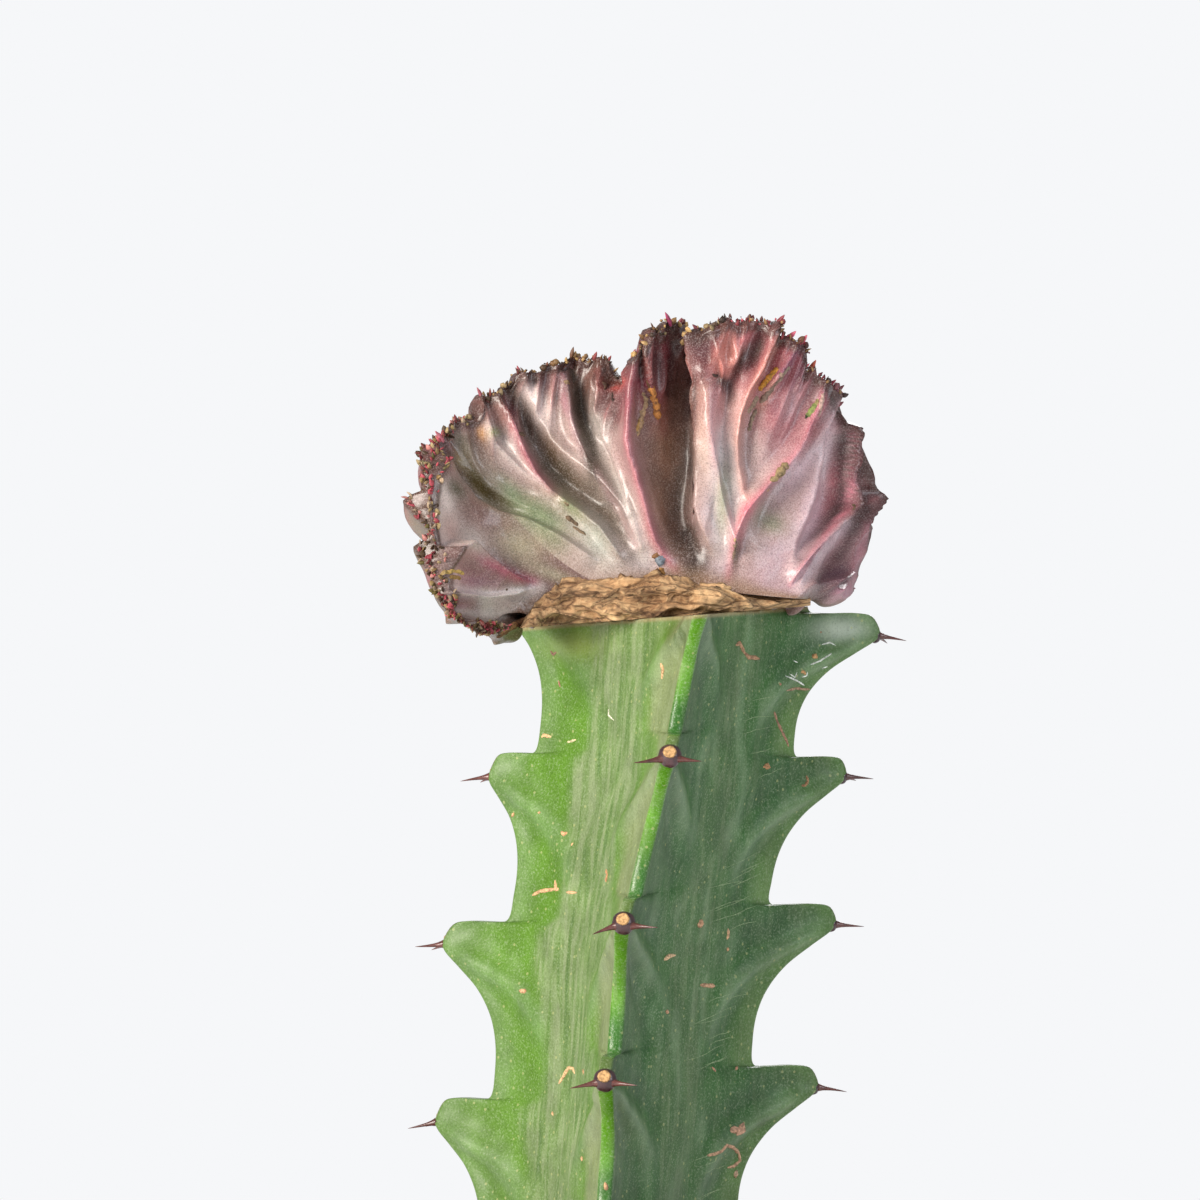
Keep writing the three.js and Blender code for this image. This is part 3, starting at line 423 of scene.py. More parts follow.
def head_skin(at, along):
    """Points of the head's skin. along runs from the front foot over the growing edge to the back foot."""
    back_from = FRONT_SHARE + CAP_SHARE
    v = np.where(along < FRONT_SHARE, along / FRONT_SHARE, np.clip((1 - along) / (1 - back_from), 0, 1))
    turn = np.clip((along - FRONT_SHARE) / CAP_SHARE, 0, 1) * math.pi
    side = np.cos(turn)
    front = side >= 0
    half = 1.0 - 0.3 * (1 - smoothstep(at, 8, 10)) + 5.6 * (1 - v**1.5)
    half = np.where(front, half, half * (1 - 0.6 * (1 - smoothstep(at, 2.5, 4.2)) * smoothstep(v, 0.3, 0.8)))
    middle = fan_middle(at, v)
    normal = fan_normal(at, v)
    rise = np.zeros_like(at)
    proud = 2.2 * smoothstep(v, 0, 0.25) * (1 - smoothstep(at, 15.6, 16.8) * (1 - smoothstep(at, 20.2, 21.4)))
    crests = middle + normal * (half + proud)[:, None]
    rise[front] = front_folds(crests[front, 0], crests[front, 2]) * smoothstep(v[front], 0.04, 0.25)
    rise[~front] = (ribs_at(BACK_RIBS, at, v) * (1 - 0.35 * smoothstep(v, 0.85, 1)) + back_lobes(at, v)
                    + tubercles_at(BACK_TUBERCLES, at, v))[~front]
    pleated = smoothstep(at, 7.5, 9.5) * (1 - 0.8 * smoothstep(at, 25, 26.5))
    rise += 1.5 * (pleats(at, v) - 0.45) * smoothstep(v, 0.66, 0.97) * pleated
    end = np.clip(np.minimum(at, LAST - at) / 1.4, 0, 1)
    ends = np.sqrt(np.clip(1 - (1 - end) ** 2, 0, 1))
    place = middle + side[:, None] * np.array([0, -20.0, 0])
    folds = 0.55 * grain(np.stack([at, v * 1.2, 7 * side], -1), 0.75, 2.2) * smoothstep(v, 0.35, 1)
    lumps = 0.34 * grain(place, 6.0) + 0.16 * grain(place, 2.3, 5.1) + 0.05 * grain(place, 0.9, 1.3)
    thick = (half + rise + (folds + lumps) * smoothstep(v, 0, 0.2)) * ends * side
    lift = 1.3 * np.sin(turn) * ends + frilled(at) * smoothstep(v, 0.8, 1)
    points = middle + normal * thick[:, None] + sheet_outward(at) * lift[:, None] + HUB
    return points, v, side, rise


# The stem.
def lean(z):
    """The stem's axis leans to the right with height."""
    return spline(LEAN, (np.asarray(z, float) - LEAN_FROM) / LEAN_STEP)


def wing_angle(wing, z):
    return np.radians(wing["angle"] + spline(wing["sway"], (np.asarray(z, float) - SWAY_FROM) / SWAY_STEP))


def wing_outline(wing):
    """Core height, edge height, reach and place between tips down one wing, closely and smoothly spaced."""
    rows = []
    tips = wing["tips"]
    for (z, reach), (next_z, next_reach) in zip(tips, tips[1:]):
        for step, (fall, lift, core_fall) in enumerate(TOOTH):
            tip = reach if step < UNDER_STEPS else next_reach
            out = wing["valley"] + lift * (tip - wing["valley"])
            rows.append((z - core_fall * (z - next_z), z - fall * (z - next_z), out, len(rows) / len(TOOTH)))
    rows.append((tips[-1][0], tips[-1][0], tips[-1][1], len(tips) - 1))
    rows = np.array(rows)
    t = np.linspace(0, len(rows) - 1, 12 * len(rows))
    return np.stack([spline(rows[:, k], t) for k in range(4)], axis=-1)


OUTLINES = [wing_outline(wing) for wing in WINGS]
HALF_FACE = math.radians(60)
FACE_TAPER = 0.577


def outline_at(index, core_z):
    core, edge, reach, place = OUTLINES[index].T
    order = np.argsort(core)
    return [np.interp(core_z, core[order], row[order]) for row in (edge, reach, place)]


def tooth_folds(wing, out, z):
    """Soft folds that run from each tooth down towards the middle of the face, in millimetres."""
    total = np.zeros_like(z)
    for tip_z, _ in wing["tips"]:
        line = tip_z - 2.5 - 12 * (1 - out) - 14 * (1 - out) ** 2
        near = (z - line) / (2.4 + 4.5 * (1 - out))
        crest, above, below = (np.exp(-((near - shift) ** 2)) for shift in (0, 2.0, -2.2))
        total += 1.15 * crest - 0.65 * above - 0.35 * below
    return total * smoothstep(out, 0.12, 0.6) * (1 - 0.85 * smoothstep(out, 0.86, 1))


def wing_skin(index, hand, out, roundness, core_z):
    """Points of one side of a wing.

    out runs from the middle of the face to where the wing's round edge starts, and roundness from there to
    the middle of that edge, both from 0 to 1.
    """
    wing = WINGS[index]
    edge_z, reach, place = outline_at(index, core_z)
    wings = smoothstep(core_z, ROUND_BELOW, WINGED_ABOVE)
    middle_out = CORE * math.cos(HALF_FACE)
    middle_side = CORE * math.sin(HALF_FACE)
    power = FACE_TAPER * (reach - middle_out) / (middle_side - EDGE_HALF)
    flat = lerp(middle_out, reach - 0.8 * EDGE_HALF, out)
    thin = 1 - (flat - middle_out) / (reach - middle_out)
    side = EDGE_HALF + (middle_side - EDGE_HALF) * thin**power
    z = core_z + (edge_z - core_z) * wings * out**1.5
    spot = np.stack([flat, 40 * hand + 90 * index + 0 * flat, z * 0.4], -1)
    waves = 0.5 * grain(spot, 7.0) + 0.2 * grain(spot, 2.6, 3.3)
    side = side + (tooth_folds(wing, out, z) + waves * (1 - smoothstep(out, 0.88, 1))) * wings
    edge_turn = roundness * math.pi / 2
    radial = flat + 0.8 * EDGE_HALF * np.sin(edge_turn) * (roundness > 0)
    across = side * np.cos(edge_turn) ** 0.7
    turn = HALF_FACE * thin * (roundness <= 0)
    under = np.clip((ROUND_BELOW - core_z) / (ROUND_BELOW - FOOT_END), 0, 1)
    buried = lerp(COLLAR_RADIUS, FOOT_RADIUS, under)
    radial = lerp(buried * np.cos(turn), radial, wings)
    across = lerp(buried * np.sin(turn), across, wings) * hand
    angle = wing_angle(wing, z)
    points = np.stack([
        lean(z) + radial * np.cos(angle) - across * np.sin(angle),
        radial * np.sin(angle) + across * np.cos(angle),
        z,
    ], axis=-1)
    return points, place


# Colours.
def linear(text):
    """sRGB hex to a linear colour with alpha."""
    value = text.lstrip("#")
    channels = [int(value[i:i + 2], 16) / 255 for i in (0, 2, 4)]
    return [c / 12.92 if c <= 0.04045 else ((c + 0.055) / 1.055) ** 2.4 for c in channels] + [1.0]


def rgb(value):
    """Red, green and blue of a hex text or of a colour setting."""
    return np.array((linear(value) if isinstance(value, str) else value)[:3])


BLEND = dict(data_type="RGBA")
DARKEN = dict(data_type="RGBA", blend_type="MULTIPLY")


def node(tree, kind, inputs=None, **settings):
    """Adds one node. inputs maps a socket to a value, a hex colour, or the node or output that feeds it."""
    made = tree.nodes.new("ShaderNode" + kind)
    for key, value in settings.items():
        if key == "ramp":
            elements = made.color_ramp.elements
            while len(elements) < len(value):
                elements.new(0.5)
            for element, (position, colour) in zip(elements, value):
                element.position = position
                element.color = linear(colour) if isinstance(colour, str) else (colour, colour, colour, 1)
        else:
            setattr(made, key, value)
    for key, value in (inputs or {}).items():
        if isinstance(value, bpy.types.Node):
            value = next(output for output in value.outputs if output.enabled)
        if isinstance(value, bpy.types.NodeSocket):
            tree.links.new(value, made.inputs[key])
        else:
            made.inputs[key].default_value = linear(value) if isinstance(value, str) else value
    return made


def blank(name):
    material = bpy.data.materials.new(name)
    material.use_nodes = True
    material.node_tree.nodes.clear()
    return material, material.node_tree


def finish_surface(tree, shader, height=None, distance=0.0002, strength=1.0):
    """Bump and output. height is in shares of distance, in metres."""
    if height is not None:
        bump = node(tree, "Bump", {"Height": height, "Distance": distance, "Strength": strength})
        tree.links.new(bump.outputs["Normal"], shader.inputs["Normal"])
    node(tree, "OutputMaterial", {"Surface": shader})


# Modelling helpers.
def points_of(piece):
    """The piece's points, in millimetres."""
    flat = np.empty(len(piece.data.vertices) * 3)
    piece.data.vertices.foreach_get("co", flat)
    return flat.reshape(-1, 3) / MM


def move_points(piece, points):
    piece.data.vertices.foreach_set("co", (np.asarray(points, float) * MM).ravel())
    piece.data.update()


def paint(piece, name, values):
    """Stores a number or a colour for each point, for the material to read."""
    values = np.asarray(values, float)
    if values.ndim == 1:
        piece.data.attributes.new(name, "FLOAT", "POINT").data.foreach_set("value", values)
    else:
        full = np.concatenate([values[:, :3], np.ones((len(values), 1))], axis=1)
        piece.data.attributes.new(name, "FLOAT_COLOR", "POINT").data.foreach_set("color", full.ravel())


def activate(piece, name=None):
    bpy.ops.object.select_all(action="DESELECT")
    piece.select_set(True)
    bpy.context.view_layer.objects.active = piece
    if name:
        piece.name = name
        piece.data.name = name


def named(name):
    """The shape just added, made active under a name."""
    piece = bpy.context.object
    activate(piece, name)
    return piece


WELD = 0.00002


def edit_all():
    bpy.ops.object.mode_set(mode="EDIT")
    bpy.ops.mesh.select_all(action="SELECT")


def close_up(piece):
    """Welds seams and poles, fills what is open and turns the faces outwards."""
    activate(piece)
    edit_all()
    bpy.ops.mesh.remove_doubles(threshold=WELD)
    bpy.ops.mesh.select_all(action="DESELECT")
    bpy.ops.mesh.select_non_manifold(
        extend=False, use_wire=False, use_multi_face=False, use_non_contiguous=False)
    bpy.ops.mesh.fill_holes(sides=0)
    bpy.ops.mesh.select_all(action="SELECT")
    bpy.ops.mesh.normals_make_consistent(inside=False)
    bpy.ops.object.mode_set(mode="OBJECT")


def sheet(name, columns, rows):
    """A flat grid to be bent to shape, and the place of its points across and along it, from 0 to 1."""
    bpy.ops.mesh.primitive_grid_add(x_subdivisions=columns, y_subdivisions=rows, size=1)
    piece = named(name)
    flat = points_of(piece) * MM
    return piece, flat[:, 0] + 0.5, flat[:, 1] + 0.5


def turned(name, profile, steps):
    """Turns a closed profile of radius and height round the upright axis, ring by ring."""
    radius, height = profile[0]
    bpy.ops.mesh.primitive_circle_add(vertices=steps, radius=radius * MM, location=(0, 0, 0))
    piece = named(name)
    edit_all()
    bpy.ops.transform.translate(value=(0, 0, height * MM))
    for next_radius, next_height in profile[1:]:
        rise = (0, 0, (next_height - height) * MM)
        bpy.ops.mesh.extrude_edges_move(TRANSFORM_OT_translate={"value": rise})
        share = next_radius / radius
        bpy.ops.transform.resize(value=(share, share, 1))
        radius, height = next_radius, next_height
    bpy.ops.object.mode_set(mode="OBJECT")
    return piece


def joined(pieces, name):
    bpy.ops.object.select_all(action="DESELECT")
    for piece in pieces:
        piece.select_set(True)
    bpy.context.view_layer.objects.active = pieces[0]
    bpy.ops.object.join()
    activate(pieces[0], name)
    bpy.ops.object.transform_apply(location=True, rotation=True, scale=True)
    return pieces[0]


def copies(template, places, name):
    """Copies of one modelled shape, each with its own mesh and skin colour, joined into one piece."""
    made = []
    collection = bpy.context.collection
    count = len(template.data.vertices)
    for matrix, tint in places:
        copy = template.copy()
        copy.data = template.data.copy()
        copy.data.transform(matrix)
        paint(copy, "skin", np.tile(tint[:3], (count, 1)))
        collection.objects.link(copy)
        made.append(copy)
    bpy.data.objects.remove(template)
    return joined(made, name)


def finished(piece, material, slot, *nodes):
    """Smooth, with its material, on the one body, in place of the plain solids named."""
    activate(piece)
    bpy.ops.object.shade_smooth()
    piece.data.materials.clear()
    piece.data.materials.append(material)
    if nodes:
        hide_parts(*nodes)
    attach(piece, "root")
    bpy.ops.object.select_all(action="DESELECT")


def frame_to(direction, place, scale, roll=0.0):
    """Places a shape that points up at a place in millimetres, turned to point along a direction."""
    turn = Vector(direction).to_track_quat("Z", "Y").to_matrix().to_4x4()
    size = Matrix.Diagonal((scale[0], scale[1], scale[2], 1))
    return Matrix.Translation(Vector(place) * MM) @ turn @ Matrix.Rotation(roll, 4, "Z") @ size


def blob(x, z, middle_x, middle_z, length, width, turn):
    """1 in the middle of a soft oval spot seen from the front, falling to 0. turn is in degrees."""
    angle = math.radians(turn)
    along = (x - middle_x) * math.cos(angle) + (z - middle_z) * math.sin(angle)
    aside = -(x - middle_x) * math.sin(angle) + (z - middle_z) * math.cos(angle)
    return np.exp(-((along / length) ** 2 + (aside / width) ** 2))


def stain(skin, text, amount):
    """Lays a hex colour or a colour setting over a skin by an amount for each point."""
    return lerp(skin, rgb(text), np.clip(amount, 0, 1)[:, None])


def stains(skin, layers):
    """Lays colours over a skin in their order, each with its amount for each point."""
    for text, amount in layers:
        skin = stain(skin, text, amount)
    return skin


def surface_of(piece):
    """A search tree of the piece's faces, to set small things on it."""
    mesh = piece.data
    corners = [vertex.co.copy() for vertex in mesh.vertices]
    return BVHTree.FromPolygons(corners, [polygon.vertices for polygon in mesh.polygons])


CAST_FROM = -0.3


def front_spot(tree, x, z):
    """Where a line straight back from the front meets a surface: place and normal in millimetres, or None."""
    place, normal, _, _ = tree.ray_cast(Vector((x * MM, CAST_FROM, z * MM)), Vector((0, 1, 0)))
    return (np.array(place) / MM, np.array(normal)) if place else None


def worm(curve, places, widths):
    """Adds one raised line through places in millimetres to a curve, with a width at each."""
    line = curve.splines.new("POLY")
    line.points.add(len(places) - 1)
    for point, place, width in zip(line.points, places, widths):
        point.co = (*(np.asarray(place) * MM), 1)
        point.radius = width


def raised_lines(name):
    curve = bpy.data.curves.new(name, "CURVE")
    curve.dimensions = "3D"
    curve.bevel_depth = MM
    curve.bevel_resolution = 1
    curve.use_fill_caps = True
    return curve


def as_mesh(curve, name):
    piece = bpy.data.objects.new(name, curve)
    bpy.context.collection.objects.link(piece)
    activate(piece)
    bpy.ops.object.convert(target="MESH")
    piece = named(name)
    return piece


# Sizes and colours that a user would change.
def length(name, description, millimetres):
    return bpy.props.FloatProperty(
        name=name, description=description, default=millimetres * MM, unit="LENGTH")


def number(name, description, many):
    return bpy.props.IntProperty(name=name, description=description, default=many)


def colour(name, description, text):
    return bpy.props.FloatVectorProperty(
        name=name, description=description, default=linear(text), size=4, min=0, max=1, subtype="COLOR")


class PlantHead(bpy.types.PropertyGroup):
    face: colour("Face", "Waxy pink-grey of the ribs' broad faces", "#c9aea8")
    # The furrow colour is partly the furrows' own brown and partly painted shade where the ribs sink.
    furrow: colour("Furrow", "Brown of the furrows between the ribs", "#806a60")
    ridge: colour("Ridge", "Pink along the crests of the ribs", "#d2808c")
    margin: colour("Margin", "Maroon of the growing edge", "#5e2a2e")
    grit: length("Grain", "Width of the fine dots in the wax", 0.26)
    scales: number("Scales", "Number of small scales on the growing edge", 760)


class PlantGraft(bpy.types.PropertyGroup):
    cork: colour("Cork", "Tan of the corky callus", "#c99f74")
    # The crack colour also darkens the hollows of the callus's wrinkles, partly as painted shade.
    crack: colour("Crack", "Brown of its cracks", "#6a482e")
    wrinkle: length("Wrinkle", "Height of the callus's largest wrinkles", 1.1)


class PlantStem(bpy.types.PropertyGroup):
    # Lime and leaf are partly the faces' own greens and partly painted light and shade, left lit and right
    # shaded.
    lime: colour("Lime", "Bright green of the left face", "#54801c")
    leaf: colour("Leaf", "Dark green of the right face", "#33642a")
    marble: colour("Marbling", "Pale streaks down the middle of a face", "#6e8056")
    edge: colour("Edge", "Vivid green of the wings' edges", "#5a961a")
    thorn: length("Thorn", "Length of a thorn", 5.6)


class PlantPot(bpy.types.PropertyGroup):
    clay: colour("Clay", "Fired terracotta", "#b9694a")
    bloom: colour("Bloom", "Pale mineral bloom on the clay", "#d9b9a4")
    earth: colour("Earth", "Damp potting soil", "#3b2a20")
    grains: number("Grains", "Number of loose grains on the soil", 900)


class PlantStage(bpy.types.PropertyGroup):
    distance: bpy.props.FloatProperty(name="Camera distance", description="From the pot's axis", default=1.4,
                                      unit="LENGTH")
    view: length("View", "Height and width that the camera takes in at the plant", 216)
    backdrop: colour("Backdrop", "Near-white of the backdrop", "#f6f7f9")


class PlantSettings(bpy.types.PropertyGroup):
    head: bpy.props.PointerProperty(type=PlantHead)
    graft: bpy.props.PointerProperty(type=PlantGraft)
    stem: bpy.props.PointerProperty(type=PlantStem)
    pot: bpy.props.PointerProperty(type=PlantPot)
    stage: bpy.props.PointerProperty(type=PlantStage)


# The crested head.
# Broad colours of the front's faces, fitted to the photograph: colour, place from the hub, half length and
# half width, turn in degrees.
# Besides colour they hold painted shade and light; the near-black patch in the deep furrow is painted shade.
HEAD_FACES = [
    ("#b49c7f", -35.6, 16.2, 6.1, 4.3, -50), ("#e2b8b2", -33.3, 9, 8.3, 4, -27),
    ("#8f806e", -25.2, 6.3, 10.8, 4, -16), ("#727953", -23.4, 13.1, 7.2, 2.7, -35),
    ("#b2a4a2", -27, 26.1, 4.7, 2.2, -68), ("#b1baac", -10.8, 10.8, 6.1, 4, -68),
    ("#625c4c", -18, 22.5, 4, 3.2, -59), ("#b1a5a5", -3.6, 6.3, 5.4, 2.9, -45),
    ("#a7b0a7", -9.9, 31.5, 4.3, 1.8, -84), ("#af7e5d", 1.5, 27.9, 14.4, 3.2, -87),
    ("#2c1b19", 3.6, 8.1, 5.4, 2.5, -45), ("#cd9b81", 0.9, 17.1, 7.2, 2.2, -81),
    ("#bba68c", 7.6, 29.7, 12.6, 1.6, -87), ("#d6c6d6", 9.4, 9.9, 9, 2.5, -81),
    ("#f7ecf1", 11.2, 24.3, 10.8, 2.5, -84), ("#c8aca9", 18, 26.1, 10.8, 2.9, -104),
    ("#c09a9d", 25.2, 27.9, 9, 2.9, -124), ("#b99ba2", 20.7, 6.3, 8.3, 4, -108),
    ("#e3b5c0", 27.4, 13.5, 9, 2.2, -106), ("#f3808d", 32.1, 20.7, 9, 1.8, -99),
    ("#4f2a27", 37.5, 17.1, 7.2, 1.8, -81), ("#842b3e", 34.2, 0.9, 3.6, 1.4, -11),
    ("#f7bac7", -34.2, 2.7, 4, 3.6, -27), ("#a6dfe0", -22.5, -0.4, 4.7, 2.2, -15),
    ("#98896e", -30.6, -4.5, 5.4, 1.8, 11),
]
# Patches of colour on its front, some of them painted shade: colour, place right of and above the hub,
# length, width, turn.
HEAD_STAINS = [
    ("#6b5c2c", -32.4, 19.4, 5, 1.2, -52), ("#7d6a38", -35.8, 23.9, 1.8, 1.1, -66),
    ("#5a5743", -36.3, 19.1, 2.3, 1.6, -53), ("#84936a", -21.4, 14.2, 5.4, 2.7, -34),
    ("#8d9a74", -26.1, 17.6, 4, 1.4, -49), ("#a59a80", -25.2, 9, 4.7, 3.2, -22),
    ("#4f3c30", -23.9, 30.6, 4.3, 1.3, -69), ("#66292e", -26.6, 33.1, 2.2, 0.8, -62),
    ("#c08a52", -32, 29, 1.4, 0.7, -63), ("#9a9a60", -29.7, 29.3, 0.9, 0.7, -27),
    # The two dark patches of the next row lie in a furrow: partly its own colour, partly painted shade.
    ("#4a4034", -14.9, 34.7, 4, 1.2, -81), ("#4c4438", -12.6, 25.2, 7.2, 1.4, -82),
    ("#8a9068", -16.2, 16, 3.6, 1.4, -45), ("#b5858d", -17.1, 34.6, 2.5, 0.7, -75),
    ("#c2544c", -7.7, 37.8, 1.4, 0.9, 17), ("#7a1f33", -3, 37.6, 1.4, 1.1, -27),
    ("#8a3a44", 1.1, 44.5, 2.5, 0.7, -85), ("#5b3b34", 2.7, 45.9, 1.8, 1.1, -79),
    # The next row's two patches and the first patch of the row after darken the deep furrow: painted shade.
    ("#4a2c27", 6.1, 35.1, 6.1, 0.4, -90), ("#75594d", 2.9, 32.9, 6.1, 1.6, -86),
    ("#4a3832", 5.2, 23.9, 6.1, 1.1, -88), ("#d48679", 12.6, 43.7, 4.7, 1.8, -112),
    ("#c9747a", 15.3, 46.3, 2.2, 1.4, -121), ("#473331", 11.4, 38.3, 1.6, 0.8, -18),
    ("#574440", 14.6, 41.9, 3.6, 0.9, -115), ("#5d4641", 17.5, 44.1, 2.5, 1.1, -119),
    ("#d08f7c", 19.5, 36.5, 4.3, 0.9, -121), ("#8d4a63", 21.8, 39.8, 1.6, 0.8, -126),
    ("#b98a8f", 23.8, 34.4, 4, 2.5, -117), ("#e07a8a", 15.7, 15.1, 1.8, 1.1, -119),
    ("#d98a92", 14.1, 10.8, 3.2, 0.9, -101), ("#6f564a", 13.7, 7, 4, 0.8, -99),
    ("#9c9c88", 11.2, 17.1, 8.3, 1.6, -94), ("#8c8a74", 19.8, 13.1, 2.9, 2, -27),
    # The two dark patches of the next row lie right of a rib's crest: partly own brown, partly painted shade.
    ("#553c39", 33.3, 26.1, 5.4, 1.1, -96), ("#58413d", 32.8, 15.3, 4.7, 1.8, -135),
    ("#63424c", 31.5, 3.6, 3.2, 1.4, -153), ("#5a3442", 32.4, 3.1, 2.5, 1.6, -158),
    ("#e08a98", 34.4, 18.5, 2.5, 0.7, -112), ("#d47f8c", 32.1, 13.5, 4.7, 0.5, -133),
    ("#c58a9a", 33.5, 0.5, 2.2, 1.1, -169), ("#d9bcc2", 25.2, 22.5, 6.5, 1.6, -126),
    ("#cdbcb2", -34.2, 9.9, 4.3, 2.5, -31), ("#c9aaa2", -37.4, 11.7, 2.9, 1.6, -77),
    ("#3f2c28", 31, 35.5, 3.2, 0.9, -72), ("#9a8f78", -18.9, 3.6, 5.8, 1.3, -23),
    ("#6b5040", -25.2, -3.1, 6.1, 1.1, -140),
]


def head_colours(settings, points, at, v, side, rise):
    """Brown furrows, darkened partly as painted shade, pink-grey faces, pink crests, maroon margin and the
    patches of the front, among them painted shade, painted light and painted highlight.
    """
    front = side >= 0
    furrow, face = rgb(settings.furrow), rgb(settings.face)
    # Partly painted shade: the skin darkens towards the furrow colour where the ribs sink.
    raised = smoothstep(rise + 0.5 * grain(points, 9.0), -1.0, 1.6)
    skin = lerp(furrow, face, (0.45 + 0.55 * raised)[:, None])
    mauve = smoothstep(at, 12, 18)
    skin = stain(skin, "#ab8083", 0.45 * mauve)
    patches = grain(points, 11.0, 3.0)
    skin = stain(skin, "#b08083", 0.5 * smoothstep(patches, 0.0, 0.5))
    skin = stain(skin, "#a5a088", 0.45 * smoothstep(-patches, 0.05, 0.5) * (1 - 0.6 * mauve))
    x, z = points[:, 0] - HUB[0], points[:, 2] - HUB[2]
    for text, middle_x, middle_z, long, wide, turn in HEAD_FACES:
        skin = stain(skin, text, 0.85 * blob(x, z, middle_x, middle_z, long, wide, turn) * front)
    from_edge = v + 0.05 * grain(points, 2.5, 4.0)
    depth = lerp(0.8, 0.56, smoothstep(at, 13, 17) * (1 - smoothstep(at, 23, 27)))
    depth = depth + 0.12 * (1 - smoothstep(at, 8, 10.5))
    margin = smoothstep(from_edge, depth, depth + 0.26)
    skin = stain(skin, "#a4545c", 0.75 * margin * front)
    coral = smoothstep(at, 19.4, 20.4) * (1 - smoothstep(at, 26, 27.5))
    dark_edge = (0.75 - 0.45 * coral) * smoothstep(from_edge, depth + 0.1, 1.0)
    skin = stain(skin, settings.margin, dark_edge)
    skin = stain(skin, "#c8646c", 0.45 * coral * margin * front)
    groove = smoothstep(-pleats(at, v), -0.45, -0.1) * smoothstep(v, 0.7, 0.95) * smoothstep(at, 7.5, 9.5)
    skin = stain(skin, "#4a2226", 0.7 * groove)
    crest = smoothstep(pleats(at, v), 0.6, 0.95) * smoothstep(v, 0.7, 0.9) * smoothstep(at, 7.5, 9.5)
    skin = stain(skin, "#b8696a", 0.5 * crest)
    lobed = smoothstep(back_lobes(at, v), 0.4, 1.6) * ~front
    skin = stains(skin, [
        ("#6c583c", 0.9 * (1 - smoothstep(at, 6.4, 7.4)) * smoothstep(v, 0.15, 0.4) * ~front),
        ("#7d6a48", 0.9 * lobed),
        ("#5c4632", 0.6 * lobed * smoothstep(v, 0.85, 1.0)),
    ])
    # Fold-line colours: the ribs' and furrows' own colours, with painted shade, painted light and painted
    # highlight.
    for _, _, _, text, amount, spread, places in FRONT_FOLDS:
        off, _, along = near_line(x, z, places)
        streak = 0.8 + 0.2 * smoothstep(grain(points, 3.0, amount), -0.3, 0.3)
        laid = amount * streak * np.exp(-((off / spread) ** 2)) * (1 - 0.35 * along**4) * front
        skin = stain(skin, text, laid)
    for text, middle_x, middle_z, long, wide, turn in HEAD_STAINS:
        skin = stain(skin, text, blob(x, z, middle_x, middle_z, long, wide, turn) * front)
    for station, height, flank, start in BACK_RIBS:
        near = np.clip(1 - np.abs(at - station) / flank, 0, 1) ** 8
        crest = near * min(height / 3, 1) * smoothstep(v, start, start + 0.3) * ~front
        skin = stain(skin, settings.ridge, 0.7 * crest)
    skin = stains(skin, [
        ("#46291f", 0.8 * smoothstep(v, 0.965, 1.0)),
        ("#5f4834", 0.85 * (1 - smoothstep(at, 1.2, 2.6)) * ~front),
        ("#8a6c52", 0.8 * (1 - smoothstep(v, 0.03, 0.12))),
    ])
    for station, along, _ in BACK_TUBERCLES:
        scab = np.exp(-(((at - station) / 0.13) ** 2) - ((v - along - 0.012) / 0.02) ** 2) * ~front
        skin = stain(skin, "#7d6248", 0.9 * scab)
    return skin


def waxy_skin(settings):
    """Bare succulent skin under a thin wax bloom: glossy on its crests, finely dotted."""
    material, tree = blank("waxy_succulent_skin")
    where = node(tree, "TexCoord").outputs["Object"]
    skin = node(tree, "Attribute", attribute_name="skin")
    dots = node(tree, "TexNoise", {
        "Vector": where, "Scale": 1 / settings.grit, "Detail": 2.0, "Roughness": 0.6})
    patches = node(tree, "TexNoise", {"Vector": where, "Scale": 1 / 0.0042, "Detail": 3.0})
    bloom = node(tree, "ValToRGB", {"Fac": dots}, ramp=[(0.5, 0.0), (0.7, 0.22)])
    bloomed = node(tree, "Mix", {0: bloom, 6: skin, 7: "#f0e6e2"}, **BLEND)
    pits = node(tree, "ValToRGB", {"Fac": dots}, ramp=[(0.32, 0.62), (0.5, 1.0)])
    dotted = node(tree, "Mix", {0: 1.0, 6: bloomed, 7: pits}, **DARKEN)
    broad = node(tree, "ValToRGB", {"Fac": patches}, ramp=[(0.35, 0.85), (0.65, 1.0)])
    tinted = node(tree, "Mix", {0: 1.0, 6: dotted, 7: broad}, **DARKEN)
    rough = node(tree, "MapRange", {"Value": dots, "To Min": 0.3, "To Max": 0.46})
    shader = node(tree, "BsdfPrincipled", {
        "Base Color": tinted, "Roughness": rough, "IOR": 1.45, "Coat Weight": 0.4,
        "Coat Roughness": 0.22, "Subsurface Weight": 0.04, "Subsurface Scale": 0.0015})
    finish_surface(tree, shader, dots, 0.0001, 0.45)
    return material


HEAD_GRID = (520, 180)


class PLANT_OT_head(bpy.types.Operator):
    """Folded fan of the head, from its foot in the graft to its growing edge"""
    bl_idname = "plant.head"
    bl_label = "Crested head"

    def execute(self, context):
        settings = context.scene.coral_plant.head
        piece, across, along = sheet("crest_skin", *HEAD_GRID)
        at = across * LAST
        points, v, side, rise = head_skin(at, along)
        move_points(piece, points)
        paint(piece, "skin", head_colours(settings, points, at, v, side, rise))
        close_up(piece)
        finished(piece, waxy_skin(settings), "crest_skin", "crest")
        return {"FINISHED"}


